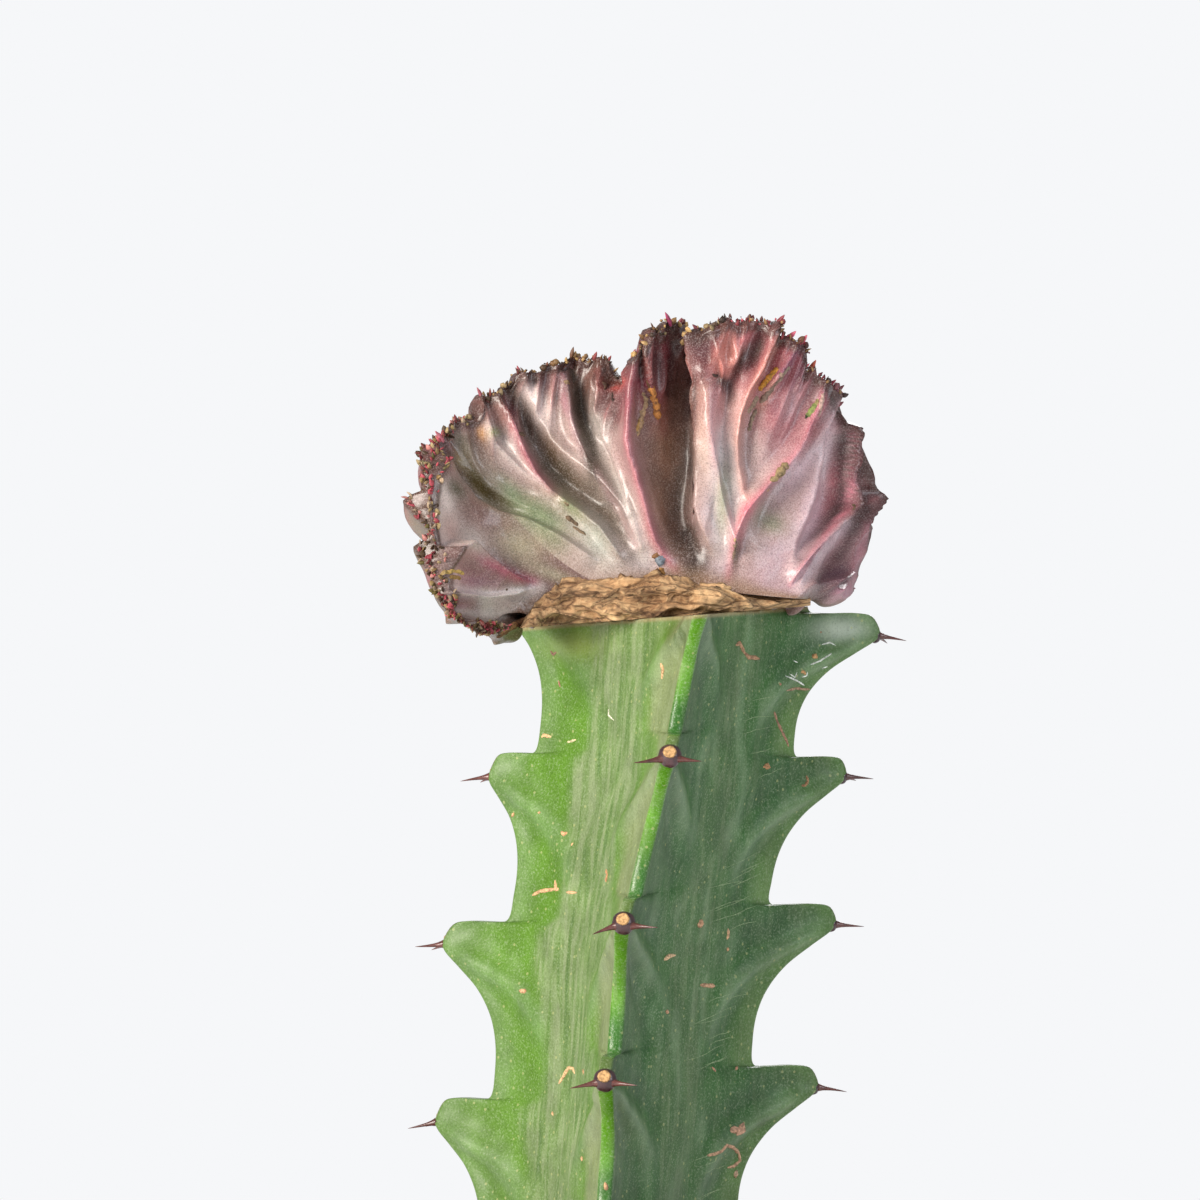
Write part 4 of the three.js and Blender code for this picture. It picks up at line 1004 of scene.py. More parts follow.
# The growing edge.
def painted_finish(name, size, detail, ramp, looks, distance, strength):
    """A surface with the piece's own colours, clouded and bumped by one noise. size is in metres."""
    material, tree = blank(name)
    where = node(tree, "TexCoord").outputs["Object"]
    skin = node(tree, "Attribute", attribute_name="skin")
    cloud = node(tree, "TexNoise", {"Vector": where, "Scale": 1 / size, "Detail": detail})
    shade = node(tree, "ValToRGB", {"Fac": cloud}, ramp=ramp)
    mixed = node(tree, "Mix", {0: 1.0, 6: skin, 7: shade}, **DARKEN)
    shader = node(tree, "BsdfPrincipled", {"Base Color": mixed, **looks})
    finish_surface(tree, shader, cloud, distance, strength)
    return material


def dry_scales():
    """Small dry scales, leaflets and grains: thin and papery, each of its own colour."""
    looks = {"Roughness": 0.48, "IOR": 1.45}
    return painted_finish("dry_scales", 0.0007, 3.0, [(0.3, 0.6), (0.7, 1.15)], looks, 0.0002, 0.6)


SCALE_COLOURS = {
    "left": ["#b8525c", "#a34550", "#7e3438", "#6c342e", "#4d3b26", "#6c6238", "#c08078", "#4e3a2a",
        "#9a8458", "#a8946c", "#8a7048", "#b09a80"],
    "top": ["#8a6b45", "#b39262", "#5a4430", "#3f3026", "#7a5a3a", "#c2a069", "#6c3a34", "#9a8560"],
    "crust": ["#b8525c", "#7e3438", "#c8606c", "#8a6b45", "#5a3430", "#a3805a", "#9a4448", "#6c4a34"],
    "right": ["#7a4a50", "#5c3a38", "#b45a6a", "#8a6f58", "#4a3430", "#a3805a", "#6e4450", "#94606a"],
}
# Larger buds that stand out of the growing edge: station, length, share of it in width, colour, lean to the
# right.
BUDS = [
    (2.9, 1.7, 0.5, "#b0505c", -0.4), (3.5, 1.9, 0.5, "#b8606a", -0.5), (5.45, 1.8, 0.5, "#8a4a44", -0.6),
    (8.2, 3, 0.42, "#c87480", -0.3), (8.3, 2.2, 0.35, "#a86a5a", 0.2), (9.78, 2.4, 0.4, "#b0606a", -0.3),
    (10.11, 1.8, 0.5, "#7c3d34", 0.2), (11, 2.2, 0.45, "#b86068", -0.3), (11.9, 1.7, 0.5, "#7a4a34", 0.3),
    (12.6, 2.2, 0.4, "#6c4a34", 0.1), (13.4, 1.8, 0.5, "#8a3c3c", 0.2), (14, 1.8, 0.45, "#9a4444", 0.4),
    (14.95, 2.4, 0.45, "#a04a54", 0.2), (15.6, 1.8, 0.5, "#8a3c48", -0.2), (16.3, 2.2, 0.4, "#6c4a34", -0.4),
    (16.45, 2, 0.5, "#4e3a2c", 0.5), (16.85, 3, 0.42, "#a63e62", -0.5), (17.3, 1.8, 0.5, "#8a3c48", 0.3),
    (19.7, 2, 0.5, "#7c3d44", -0.4), (20.3, 1.8, 0.5, "#9a4a4c", 0.2), (21.1, 2, 0.45, "#7a5a3a", -0.2),
    (21.97, 2.6, 0.4, "#8a3a44", 0.5), (22.5, 2.6, 0.45, "#d86a80", 0.6), (22.95, 2.4, 0.45, "#c25c6c", 0.3),
    (23.9, 2.6, 0.4, "#c8604a", 0.1), (24.3, 2, 0.45, "#a84a54", 0.5), (24.8, 2.4, 0.42, "#b0505c", 0.5),
    (25.15, 2.4, 0.4, "#7c3d44", 0.4), (25.5, 1.8, 0.5, "#9a5a60", 0.6), (26.3, 1.8, 0.5, "#5c3a38", 0.2),
    (28.3, 1.7, 0.45, "#8a6a5c", 0.6), (29.2, 1.5, 0.5, "#a3707a", 0.4), (31, 1.7, 0.45, "#94606a", 0.6),
]


# Regions of the growing edge, each with the station where it ends.
EDGE_REGIONS = ((9.2, "left"), (20.5, "top"), (24.5, "crust"), (LAST + 1, "right"))
SCALES_END = 25.3
# A random turn of a small thing about itself goes up to this, about a full turn.
FULL_TURN = 6.3


def edge_region(at):
    return next(region for end, region in EDGE_REGIONS if at < end)


def tapered_scale(name, bend):
    """A small leaflet, 1 mm long before scaling: a pointed tongue, thick at its root, that curls over."""
    bpy.ops.mesh.primitive_uv_sphere_add(segments=6, ring_count=5, radius=0.0005)
    piece = named(name)
    points = points_of(piece)
    z = points[:, 2] + 0.5
    width = np.where(z > 0.5, 1.15 * (1 - z) + 0.42, 1.0)
    points[:, 0] *= width
    points[:, 1] = points[:, 1] * 0.4 * width + bend * z**2
    points[:, 2] = z - 0.15
    move_points(piece, points)
    return piece


def lumpy_grain(name):
    """A grain, 1 mm across before scaling, with uneven faces."""
    bpy.ops.mesh.primitive_ico_sphere_add(subdivisions=1, radius=0.0005)
    piece = named(name)
    points = points_of(piece)
    points *= (1 + 0.45 * grain(points, 0.5, 6.0))[:, None]
    move_points(piece, points)
    return piece


class PLANT_OT_growing_edge(bpy.types.Operator):
    """Leaflets, buds and dry scales along the head's growing edge"""
    bl_idname = "plant.growing_edge"
    bl_label = "Growing edge"

    def execute(self, context):
        count = context.scene.coral_plant.head.scales
        draw = random.Random(11)
        leaflets, grains = [], []
        at = np.empty(count)
        along = np.empty(count)
        for i in range(count):
            if i < 0.48 * count:
                at[i] = 0.4 + (i + draw.random()) / (0.48 * count) * 9.0
                low, high = (0.35, 0.95) if 3.9 < at[i] < 5.6 else (0.05, 0.95)
                along[i] = FRONT_SHARE + CAP_SHARE * draw.uniform(low, high)
            else:
                at[i] = 9.2 + (i - 0.48 * count + draw.random()) / (0.52 * count) * (LAST - 9.8)
                along[i] = FRONT_SHARE + CAP_SHARE * draw.uniform(0.2, 0.8)
        points = head_skin(at, along)[0]
        ahead = head_skin(np.minimum(at + 0.05, LAST), along)[0] - points
        over = head_skin(at, along + 0.004)[0] - points
        normals = unit(np.cross(over, ahead))
        outward = sheet_outward(at)
        clumps = grain(np.stack([at, at * 0, at * 0], -1), 1.1, 7.7)
        for i in range(count):
            normal = normals[i] if normals[i] @ outward[i] > -0.2 else -normals[i]
            stray = np.array([draw.uniform(-0.7, 0.7) for _ in range(3)])
            direction = unit(normal + 0.7 * outward[i] + stray)
            region = edge_region(at[i])
            tint = rgb(draw.choice(SCALE_COLOURS[region])) * draw.uniform(0.75, 1.2)
            if region == "left" or (at[i] < SCALES_END and draw.random() < (0.6 if at[i] > 20.5 else 0.35)):
                size = draw.uniform(0.7, 1.7) if region == "left" else draw.uniform(0.7, 1.6)
                shape = (draw.uniform(0.6, 0.95) * size, 0.9 * size, size)
                place = points[i] - 0.2 * size * direction
                leaflets.append((frame_to(direction, place, shape, draw.uniform(0, FULL_TURN)), tint))
            elif clumps[i] > -0.22 and at[i] < SCALES_END:
                size = 0.4 + 1.0 * draw.random() ** 2.2
                shape = (size, size * draw.uniform(0.4, 0.9), size * draw.uniform(0.6, 1.4))
                place = points[i] + draw.uniform(0.0, 0.5) * direction
                grains.append((frame_to(direction, place, shape, draw.uniform(0, FULL_TURN)), tint))
        spots = np.array([bud[0] for bud in BUDS])
        points = head_skin(spots, np.full(len(BUDS), FRONT_SHARE + 0.5 * CAP_SHARE))[0]
        outward = sheet_outward(spots)
        for place, out, (_, size, width, text, aside) in zip(points, outward, BUDS):
            direction = unit(out + aside * np.array([1.0, 0, 0]) + np.array([0, -0.25, 0]))
            shape = (width * size, 0.9 * width * size, size)
            leaflets.append((frame_to(direction, place - 0.6 * direction, shape, 1.6), rgb(text)))
        parts = [
            copies(tapered_scale("leaflet", 0.35), leaflets, "leaflets"),
            copies(lumpy_grain("dry_grain"), grains, "dry_grains"),
        ]
        piece = joined(parts, "growing_edge_scales")
        finished(piece, dry_scales(), "crest_skin")
        return {"FINISHED"}


# The graft.
# Its outline seen from the front: x, lower edge, upper edge.
GRAFT_OUTLINE = [
    (-15.6, 235.7, 236.4), (-14.2, 235.9, 238), (-12.6, 236.3, 239.8), (-11, 236.9, 241.6),
    (-9.4, 237.5, 243.6), (-7.6, 238.3, 244.8), (-4.4, 238.6, 244.7), (-0.6, 237.6, 244.4), (2, 237.2, 244.9),
    (4.8, 237.2, 245.6), (7.2, 237.3, 246.6), (9.2, 237.6, 247.3), (11, 238.4, 246.4), (13.4, 239, 245.2),
    (16, 239, 244.6), (19.6, 239.4, 243.9), (24.6, 239.6, 242.6), (29.9, 240.4, 241.8), (35.1, 240.9, 241.6),
    (36.8, 241.1, 241.5),
]


def cork_skin(settings):
    """Corky callus: dry, fibrous and cracked, tan where it is fresh and dark brown in the cracks."""
    material, tree = blank("corky_callus")
    where = node(tree, "TexCoord").outputs["Object"]
    skin = node(tree, "Attribute", attribute_name="skin")
    stretched = node(tree, "Mapping", {"Vector": where, "Scale": (0.34, 1.0, 1.0)})
    fibres = node(tree, "TexNoise", {
        "Vector": stretched, "Scale": 1 / 0.0011, "Detail": 6.0, "Roughness": 0.65, "Distortion": 1.2})
    cells = node(tree, "TexVoronoi", {"Vector": stretched, "Scale": 1 / 0.0027}, feature="DISTANCE_TO_EDGE")
    crack = node(tree, "ValToRGB", {"Fac": cells}, ramp=[(0.0, 0.0), (0.09, 1.0)])
    tans = [(0.37, "#54371f"), (0.47, "#b98d60"), (0.64, "#ecc794")]
    flecks = node(tree, "ValToRGB", {"Fac": fibres}, ramp=tans)
    body = node(tree, "Mix", {0: 0.5, 6: skin, 7: flecks}, **BLEND)
    whole = node(tree, "Math", {0: crack, 1: 0.6, 2: 0.4}, operation="MULTIPLY_ADD")
    cracked = node(tree, "Mix", {0: whole, 6: "#4e3423", 7: body}, **BLEND)
    deep = node(tree, "Math", {0: crack, 1: 0.5}, operation="MULTIPLY")
    height = node(tree, "Math", {0: fibres, 1: deep}, operation="ADD")
    shader = node(tree, "BsdfPrincipled", {"Base Color": cracked, "Roughness": 0.78, "IOR": 1.45})
    finish_surface(tree, shader, height, 0.0007, 1.0)
    return material


GRAFT_GRID = (260, 110)


class PLANT_OT_graft(bpy.types.Operator):
    """Corky callus between the cut stem and the head"""
    bl_idname = "plant.graft"
    bl_label = "Graft callus"

    def execute(self, context):
        settings = context.scene.coral_plant.graft
        outline = np.array(GRAFT_OUTLINE)
        piece, across, along = sheet("graft_cork", *GRAFT_GRID)
        x = lerp(outline[0, 0], outline[-1, 0], across)
        turn = along * 2 * math.pi
        low = np.interp(x, outline[:, 0], outline[:, 1])
        high = np.interp(x, outline[:, 0], outline[:, 2])
        taper = np.sqrt(np.clip(1 - np.abs((x - 9.8) / 27.2) ** 2.4, 0, 1))
        depth = (0.6 + 9.2 * taper) * np.where(x > 20, 1 - 0.55 * smoothstep(x, 20, 37), 1)
        y = -depth * np.sign(np.cos(turn)) * np.abs(np.cos(turn)) ** 0.75 - 5.5 * smoothstep(-x, 9, 15)
        up = np.sign(np.sin(turn)) * np.abs(np.sin(turn)) ** 0.85
        z = (low + high) / 2 + (high - low) / 2 * up + 0.35 * (np.abs(up) < 0.2)
        points = np.stack([x, y, z], -1)
        outwards = unit(np.stack([0 * x, -depth * np.cos(turn), (high - low) * np.sin(turn)], -1))
        drift = 1.2 * np.stack([grain(points, 4.0, seed) for seed in (3.0, 8.0, 5.0)], -1)
        stretch = (points + drift) * np.array([0.26, 1.0, 1.0])
        folds = 1 - 2 * np.abs(grain(stretch, 2.6, 1.7))
        small = 1 - 2 * np.abs(grain(stretch, 1.1, 6.1))
        tiny = grain(points, 0.7, 2.9)
        size = smoothstep(high - low, 0.3, 4.0)
        height = settings.wrinkle / MM * (1.3 * folds + 0.6 * small + 0.2 * tiny) * (0.25 + 0.75 * size)
        points = points + outwards * height[:, None]
        cut = STEM_TOP + CUT_SLOPE * points[:, 0]
        points[:, 2] = np.maximum(points[:, 2], cut + 0.05)
        move_points(piece, points)
        skin = np.tile(rgb(settings.cork), (len(x), 1))
        # Partly painted light and shade: paler tan on wrinkle crests, as a highlight, and crack colour in
        # hollows.
        skin = stains(skin, [
            ("#e2bd90", 0.85 * smoothstep(folds + 0.4 * small, 0.5, 1.3)),
            (settings.crack, 0.9 * smoothstep(-folds, -0.45, 0.1)),
            ("#6e4c34", 0.6 * smoothstep(-small, -0.1, 0.5)),
        ])
        dark = smoothstep(grain(points * np.array([0.3, 1, 1]), 2.2, 4.4), 0.1, 0.32)
        skin = stains(skin, [
            ("#3e2a1c", 0.85 * dark),
            ("#7c6450", 0.6 * smoothstep(-x, -2, 8)),
            ("#4f3a2a", 0.7 * smoothstep(-x, 13, 17)),
            ("#f0cc9c", 0.45 * smoothstep(x, 14, 19) * (1 - smoothstep(x, 24, 32))),
        ])
        # Painted shade: darker along the callus's lower edge, under its bulge.
        under = smoothstep(low + 0.7 - points[:, 2], 0, 0.8)
        skin = stain(skin, "#54402f", 0.6 * under * smoothstep(x, 0, 3) * (1 - smoothstep(x, 12, 16)))
        paint(piece, "skin", skin)
        close_up(piece)
        finished(piece, cork_skin(settings), "cork", "graft_callus")
        return {"FINISHED"}


# The winged stem.
FACE_COLUMNS = 23
EDGE_COLUMNS = 4
STEM_TOP_ROW = 251.0
STEM_ROWS = 590
PER_WING = 2 * (FACE_COLUMNS + EDGE_COLUMNS)


def stem_grid(across, along):
    """Wing, side, place on the face, roundness of the edge and height of each point of the grid."""
    column = np.rint(across * (PER_WING * 3)).astype(int)
    index = (column // PER_WING) % 3
    k = column % PER_WING - (FACE_COLUMNS + EDGE_COLUMNS)
    hand = np.where(k < 0, -1, 1)
    from_edge = np.abs(k)
    out = np.where(from_edge > EDGE_COLUMNS, 1 - (from_edge - EDGE_COLUMNS) / FACE_COLUMNS, 1.0)
    roundness = np.where(from_edge < EDGE_COLUMNS, 1 - from_edge / EDGE_COLUMNS, 0.0)
    out = out ** 0.9
    bend = 0.035
    buried = lerp(FOOT_END, 90, along / bend)
    depth = np.where(along < bend, buried, lerp(90, STEM_TOP_ROW, (along - bend) / (1 - bend)))
    return index, hand, out, roundness, depth


def stem_points(across, along):
    index, hand, out, roundness, depth = stem_grid(across, along)
    points = np.zeros((len(across), 3))
    place = np.zeros(len(across))
    for k in range(3):
        for side in (-1, 1):
            chosen = (index == k) & (hand == side)
            heights = depth[chosen]
            made, place[chosen] = wing_skin(k, side, out[chosen], roundness[chosen], heights)
            still = np.zeros(len(heights))
            here = wing_skin(k, side, still, still, heights)[0]
            there = wing_skin((k + side) % 3, -side, still, still, heights)[0]
            points[chosen] = made + (there - here) / 2 * ((1 - out[chosen]) ** 2)[:, None]
    return points, index, hand, out, roundness, depth, place


def stem_colours(settings, points, index, hand, out, roundness, depth, place):
    """Bright green on the left face, dark green on the right, partly painted light and shade; pale marbled
    middles, vivid wing edges, painted sheen, shade and highlight.
    """
    x, _, z = points.T
    left_face = ((index == 1) & (hand > 0)) | ((index == 2) & (hand < 0))
    right_face = ((index == 2) & (hand > 0)) | ((index == 0) & (hand < 0))
    first = ((index == 1) & (hand > 0)) | ((index == 2) & (hand > 0)) | ((index == 0) & (hand > 0))
    across = np.where(first, 0.5 - 0.5 * out, 0.5 + 0.5 * out)
    across = across + 0.05 * grain(points * np.array([1, 1, 0.3]), 6.0)
    lime = rgb(settings.lime)
    leaf = rgb(settings.leaf)
    # Partly painted light and shade: the left face is painted lighter and the right one darker, beside own
    # greens.
    skin = np.where(left_face[:, None], lime, np.where(right_face[:, None], leaf, lerp(lime, leaf, 0.55)))
    front_wing = index == 2
    lower = 1 - smoothstep(z, 130, 175)
    skin = stain(skin, "#5a7f2c", 0.5 * left_face * lower * (1 - smoothstep(across, 0.2, 0.45)))
    skin = stain(skin, "#64844a", 0.6 * left_face * (1 - smoothstep(across, 0.02, 0.12)))
    pale = np.where(left_face, smoothstep(across, 0.26, 0.36) * (1 - smoothstep(across, 0.62, 0.78)),
                    0.45 * smoothstep(across, 0.3, 0.45) * (1 - smoothstep(across, 0.5, 0.7)))
    skin = stain(skin, settings.marble, 0.5 * pale)
    strip = smoothstep(across, 0.72, 0.84) * left_face
    skin = stains(skin, [
        ("#7f8a5e", 0.85 * strip),
        ("#48643f", 0.6 * right_face * (1 - smoothstep(across, 0.02, 0.3))),
        ("#5f8040", 0.6 * right_face * smoothstep(across, 0.78, 1.0)),
    ])
    notch = smoothstep(np.mod(place, 1), 0.25, 0.6) * (1 - smoothstep(np.mod(place, 1), 0.8, 0.95))
    skin = stain(skin, "#68894a", 0.55 * notch * smoothstep(out, 0.6, 1) * ~front_wing)
    folds = np.zeros_like(x)
    for k in range(3):
        chosen = index == k
        folds[chosen] = tooth_folds(WINGS[k], out[chosen], z[chosen])
    # Painted sheen on the crests of the folds below the teeth, and painted shade in their hollows.
    sheen = smoothstep(folds + 0.6 * grain(points * np.array([1, 1, 0.5]), 4.0), 0.15, 1.1)
    skin = stain(skin, "#86a078", 0.38 * sheen * np.where(left_face, 0.7, 1.0))
    skin = stain(skin, "#2c4530", 0.4 * smoothstep(-folds, 0.1, 0.6) * ~left_face)
    # A painted highlight on the right face's top tooth, a darker olive spot below the graft, and painted
    # light on the left face where the head casts its shadow.
    for text, amount, middle_x, wide, middle_z, tall, face in (
            ("#c8d6c0", 0.9, 42.6, 4.6, 236.3, 2.1, right_face),
            ("#44581c", 0.8, 13.2, 2.2, 235.5, 3.0, left_face),
            ("#b0c870", 0.8, -5.6, 5.0, 233.8, 2.6, left_face)):
        spot = np.exp(-(((x - middle_x) / wide) ** 2) - ((z - middle_z) / tall) ** 2)
        skin = stain(skin, text, amount * spot * face)
    # Painted sheen: pale streaks lengthwise down the middle of the right face.
    running = smoothstep(grain(points * np.array([1, 1, 0.16]), 2.6, 9.0), 0.1, 0.55)
    middle = smoothstep(across, 0.15, 0.35) * (1 - smoothstep(across, 0.6, 0.8))
    skin = stain(skin, "#7d9a72", 0.5 * running * middle * right_face)
    edge = smoothstep(roundness, 0.2, 0.55)
    at_tooth = np.mod(place, 1)
    skin = stain(skin, settings.edge, 0.95 * edge * front_wing)
    skin = stain(skin, "#245a2a", 0.75 * edge * front_wing * smoothstep(at_tooth, 0.42, 0.56)
                 * (1 - smoothstep(at_tooth, 0.8, 0.9)))
    skin = stains(skin, [
        ("#57643c", 0.8 * edge * front_wing * smoothstep(at_tooth, 0.82, 0.92)),
        ("#6c8a4c", 0.5 * edge * ~front_wing),
        ("#84786a", 0.6 * edge * ~front_wing * smoothstep(at_tooth, 0.84, 0.93)),
        ("#b8a080", 0.9 * (1 - smoothstep(depth, 92, 103))),
        ("#a8946c", 0.8 * smoothstep(z - CUT_SLOPE * x, STEM_TOP - 0.9, STEM_TOP - 0.2)),
    ])
    marble = np.where(left_face, pale + 0.5 * strip, 0.55 * pale + 0.2)
    return skin, marble, edge * front_wing


def green_skin():
    """Green stem skin with a thin cuticle: satin, streaked lengthwise, finely stippled."""
    material, tree = blank("green_stem_skin")
    where = node(tree, "TexCoord").outputs["Object"]
    skin = node(tree, "Attribute", attribute_name="skin")
    marble = node(tree, "Attribute", attribute_name="marble").outputs["Fac"]
    glossy = node(tree, "Attribute", attribute_name="edge").outputs["Fac"]
    streaks = node(tree, "Mapping", {"Vector": where, "Scale": (1.0, 1.0, 0.09)})
    veins = node(tree, "TexNoise", {"Vector": streaks, "Scale": 1 / 0.0016, "Detail": 4.0, "Distortion": 0.6})
    vein = node(tree, "ValToRGB", {"Fac": veins}, ramp=[(0.42, 0.0), (0.62, 1.0)])
    marbled = node(tree, "Math", {0: vein, 1: marble}, operation="MULTIPLY")
    pale = node(tree, "Math", {0: marbled, 1: 0.62}, operation="MULTIPLY")
    streaked = node(tree, "Mix", {0: pale, 6: skin, 7: "#909e78"}, **BLEND)
    dark_vein = node(tree, "ValToRGB", {"Fac": veins}, ramp=[(0.3, 1.0), (0.45, 0.0)])
    lined = node(tree, "Math", {0: dark_vein, 1: marble}, operation="MULTIPLY")
    dark = node(tree, "Math", {0: lined, 1: 0.35}, operation="MULTIPLY")
    veined = node(tree, "Mix", {0: dark, 6: streaked, 7: "#3c5a34"}, **BLEND)
    stipple = node(tree, "TexNoise", {"Vector": where, "Scale": 1 / 0.0004, "Detail": 2.0, "Roughness": 0.7})
    clouds = node(tree, "TexNoise", {"Vector": where, "Scale": 1 / 0.006, "Detail": 4.0})
    light = node(tree, "ValToRGB", {"Fac": stipple}, ramp=[(0.52, 0.0), (0.74, 0.4)])
    stippled = node(tree, "Mix", {0: light, 6: veined, 7: "#aab89c"}, **BLEND)
    shade = node(tree, "ValToRGB", {"Fac": stipple}, ramp=[(0.28, 0.72), (0.48, 1.0)])
    shaded = node(tree, "Mix", {0: 1.0, 6: stippled, 7: shade}, **DARKEN)
    cloudy = node(tree, "ValToRGB", {"Fac": clouds}, ramp=[(0.35, 0.82), (0.65, 1.06)])
    toned = node(tree, "Mix", {0: 1.0, 6: shaded, 7: cloudy}, **DARKEN)
    specks = node(tree, "TexVoronoi", {"Vector": where, "Scale": 1 / 0.0021, "Randomness": 1.0})
    close = node(tree, "Math", {0: specks, 1: 0.13}, operation="LESS_THAN")
    speck = node(tree, "Math", {0: close, 1: 0.55}, operation="MULTIPLY")
    flecked = node(tree, "Mix", {0: speck, 6: toned, 7: "#a4ac74"}, **BLEND)
    satin = node(tree, "Math", {0: stipple, 1: 0.3, 2: 0.3}, operation="MULTIPLY_ADD")
    polish = node(tree, "Math", {0: glossy, 1: 0.22}, operation="MULTIPLY")
    rough = node(tree, "Math", {0: satin, 1: polish}, operation="SUBTRACT", use_clamp=True)
    shader = node(tree, "BsdfPrincipled", {
        "Base Color": flecked, "Roughness": rough, "IOR": 1.42, "Coat Weight": 0.12, "Coat Roughness": 0.35})
    finish_surface(tree, shader, stipple, 0.00012, 0.5)
    return material


class PLANT_OT_stem(bpy.types.Operator):
    """Three-winged stem with toothed wings, from its buried foot to the graft cut"""
    bl_idname = "plant.stem"
    bl_label = "Winged stem"

    def execute(self, context):
        settings = context.scene.coral_plant.stem
        piece, across, along = sheet("stem_skin", 3 * PER_WING, STEM_ROWS)
        points, index, hand, out, roundness, depth, place = stem_points(across, along)
        skin, marble, edge = stem_colours(settings, points, index, hand, out, roundness, depth, place)
        move_points(piece, points)
        paint(piece, "skin", skin)
        paint(piece, "marble", marble)
        paint(piece, "edge", edge)
        close_up(piece)
        edit_all()
        bpy.ops.mesh.bisect(plane_co=(0, 0, STEM_TOP * MM), plane_no=(-CUT_SLOPE, 0, 1), use_fill=True,
                            clear_outer=True)
        bpy.ops.object.mode_set(mode="OBJECT")
        finished(piece, green_skin(), "stem_skin", "stem")
        return {"FINISHED"}


# Thorns and corky leaf scars.
def tooth_frame(wing, z):
    turn = Matrix.Rotation(float(wing_angle(wing, z)), 4, "Z")
    return Matrix.Translation((float(lean(z)) * MM, 0, z * MM)) @ turn


# Only tooth tips between these heights carry thorns.
THORNS_FROM, THORNS_TO = 100, 238


def thorny_tips():
    for wing in WINGS:
        for z, reach in wing["tips"]:
            if THORNS_FROM < z < THORNS_TO:
                yield wing, z, reach


def shield():
    """The horny shield of a tooth tip, round in front and running down the tooth a little."""
    bpy.ops.mesh.primitive_uv_sphere_add(segments=18, ring_count=12, radius=MM)
    piece = named("shield")
    points = points_of(piece)
    points *= np.array([1.75, 2.1, 2.0])
    points[:, 2] -= 0.15 * np.clip(-points[:, 2], 0, 3) * (np.abs(points[:, 1]) < 1.4)
    points *= (1 + 0.07 * grain(points, 1.1, 3.0))[:, None]
    move_points(piece, points)
    return piece


def thorn(size):
    """One thorn along +Z: a broad base that narrows fast to a long thin point."""
    profile = [
        (0.0, 1.15), (0.1, 0.86), (0.22, 0.6), (0.38, 0.42), (0.58, 0.29), (0.78, 0.18), (0.93, 0.09),
        (1.0, 0.03)]
    bpy.ops.mesh.primitive_circle_add(vertices=9, radius=profile[0][1] * MM, fill_type="NGON")
    piece = named("thorn")
    edit_all()
    for (low, radius), (high, next_radius) in zip(profile, profile[1:]):
        bpy.ops.mesh.extrude_region_move(TRANSFORM_OT_translate={"value": (0, 0, (high - low) * size)})
        bpy.ops.transform.resize(value=(next_radius / radius, next_radius / radius, 1))
    bpy.ops.object.mode_set(mode="OBJECT")
    points = points_of(piece)
    points[:, 0] += 0.35 * (points[:, 2] / size * MM) ** 2
    move_points(piece, points)
    return piece


def horn():
    """Thorns and shields: hard dark horn, glossy, redder and thinner towards the points."""
    looks = {"Roughness": 0.3, "IOR": 1.55, "Coat Weight": 0.3, "Coat Roughness": 0.18}
    return painted_finish("dark_horn", 0.0009, 4.0, [(0.3, 0.6), (0.7, 1.35)], looks, 0.0001, 0.4)


class PLANT_OT_thorns(bpy.types.Operator):
    """Paired thorns on their shields at the tooth tips"""
    bl_idname = "plant.thorns"
    bl_label = "Thorns"

    def execute(self, context):
        settings = context.scene.coral_plant.stem
        draw = random.Random(3)
        shields, points = [], []
        dark = rgb("#3e2629")
        red = rgb("#5c342f")
        for wing, z, reach in thorny_tips():
            base = tooth_frame(wing, z)
            front = wing["angle"] == FRONT_ANGLE
            size = Matrix.Diagonal((1, 1, 1, 1)) if front else Matrix.Diagonal((0.55, 0.66, 0.66, 1))
            sunk = 0.7 if front else 0.75
            place = Matrix.Translation(((reach - sunk) * MM, 0, -0.6 * MM))
            shields.append((base @ place @ size, dark * draw.uniform(0.8, 1.2)))
            for hand in (-1, 1):
                aside = (0.3, 0.95 * hand, -0.2) if front else (0.88, 0.5 * hand, -0.16)
                direction = Vector(aside) + Vector((0, 0, draw.uniform(-0.12, 0.12)))
                length_share = draw.uniform(0.88, 1.02)
                width = 1.0 if front else 0.8
                root = (reach - 0.35, 0.9 * hand, -1.1) if front else (reach - 0.3, 0.4 * hand, -0.7)
                turn = frame_to(direction, root, (width, width, length_share), draw.uniform(0, FULL_TURN))
                points.append((base @ turn, red * draw.uniform(0.8, 1.2)))
        parts = [copies(shield(), shields, "shields"), copies(thorn(settings.thorn), points, "thorn_points")]
        piece = joined(parts, "thorns")
        finished(piece, horn(), "thorn")
        return {"FINISHED"}


def dry_scar():
    """Dry tan cork of old scratches and leaf scars: matt."""
    looks = {"Roughness": 0.75, "IOR": 1.45}
    return painted_finish("dry_cork_scar", 0.0005, 4.0, [(0.32, 0.45), (0.6, 1.15)], looks, 0.0002, 0.8)


def leaf_scar():
    """A thin corky disc with a raised rim, 1 mm in radius before scaling."""
    bpy.ops.mesh.primitive_circle_add(vertices=12, radius=MM, fill_type="NGON")
    piece = named("leaf_scar")
    edit_all()
    bpy.ops.mesh.extrude_region_move(TRANSFORM_OT_translate={"value": (0, 0, 0.0006)})
    bpy.ops.transform.resize(value=(0.85, 0.85, 1))
    bpy.ops.mesh.inset(thickness=0.00016)
    bpy.ops.mesh.inset(thickness=0.00012, depth=-0.00018)
    bpy.ops.mesh.inset(thickness=0.0003)
    bpy.ops.transform.translate(value=(0, 0, 0.00012))
    bpy.ops.object.mode_set(mode="OBJECT")
    points = points_of(piece)
    points[:, :2] *= (1 + 0.12 * grain(points, 0.8, 2.0))[:, None]
    move_points(piece, points)
    return piece


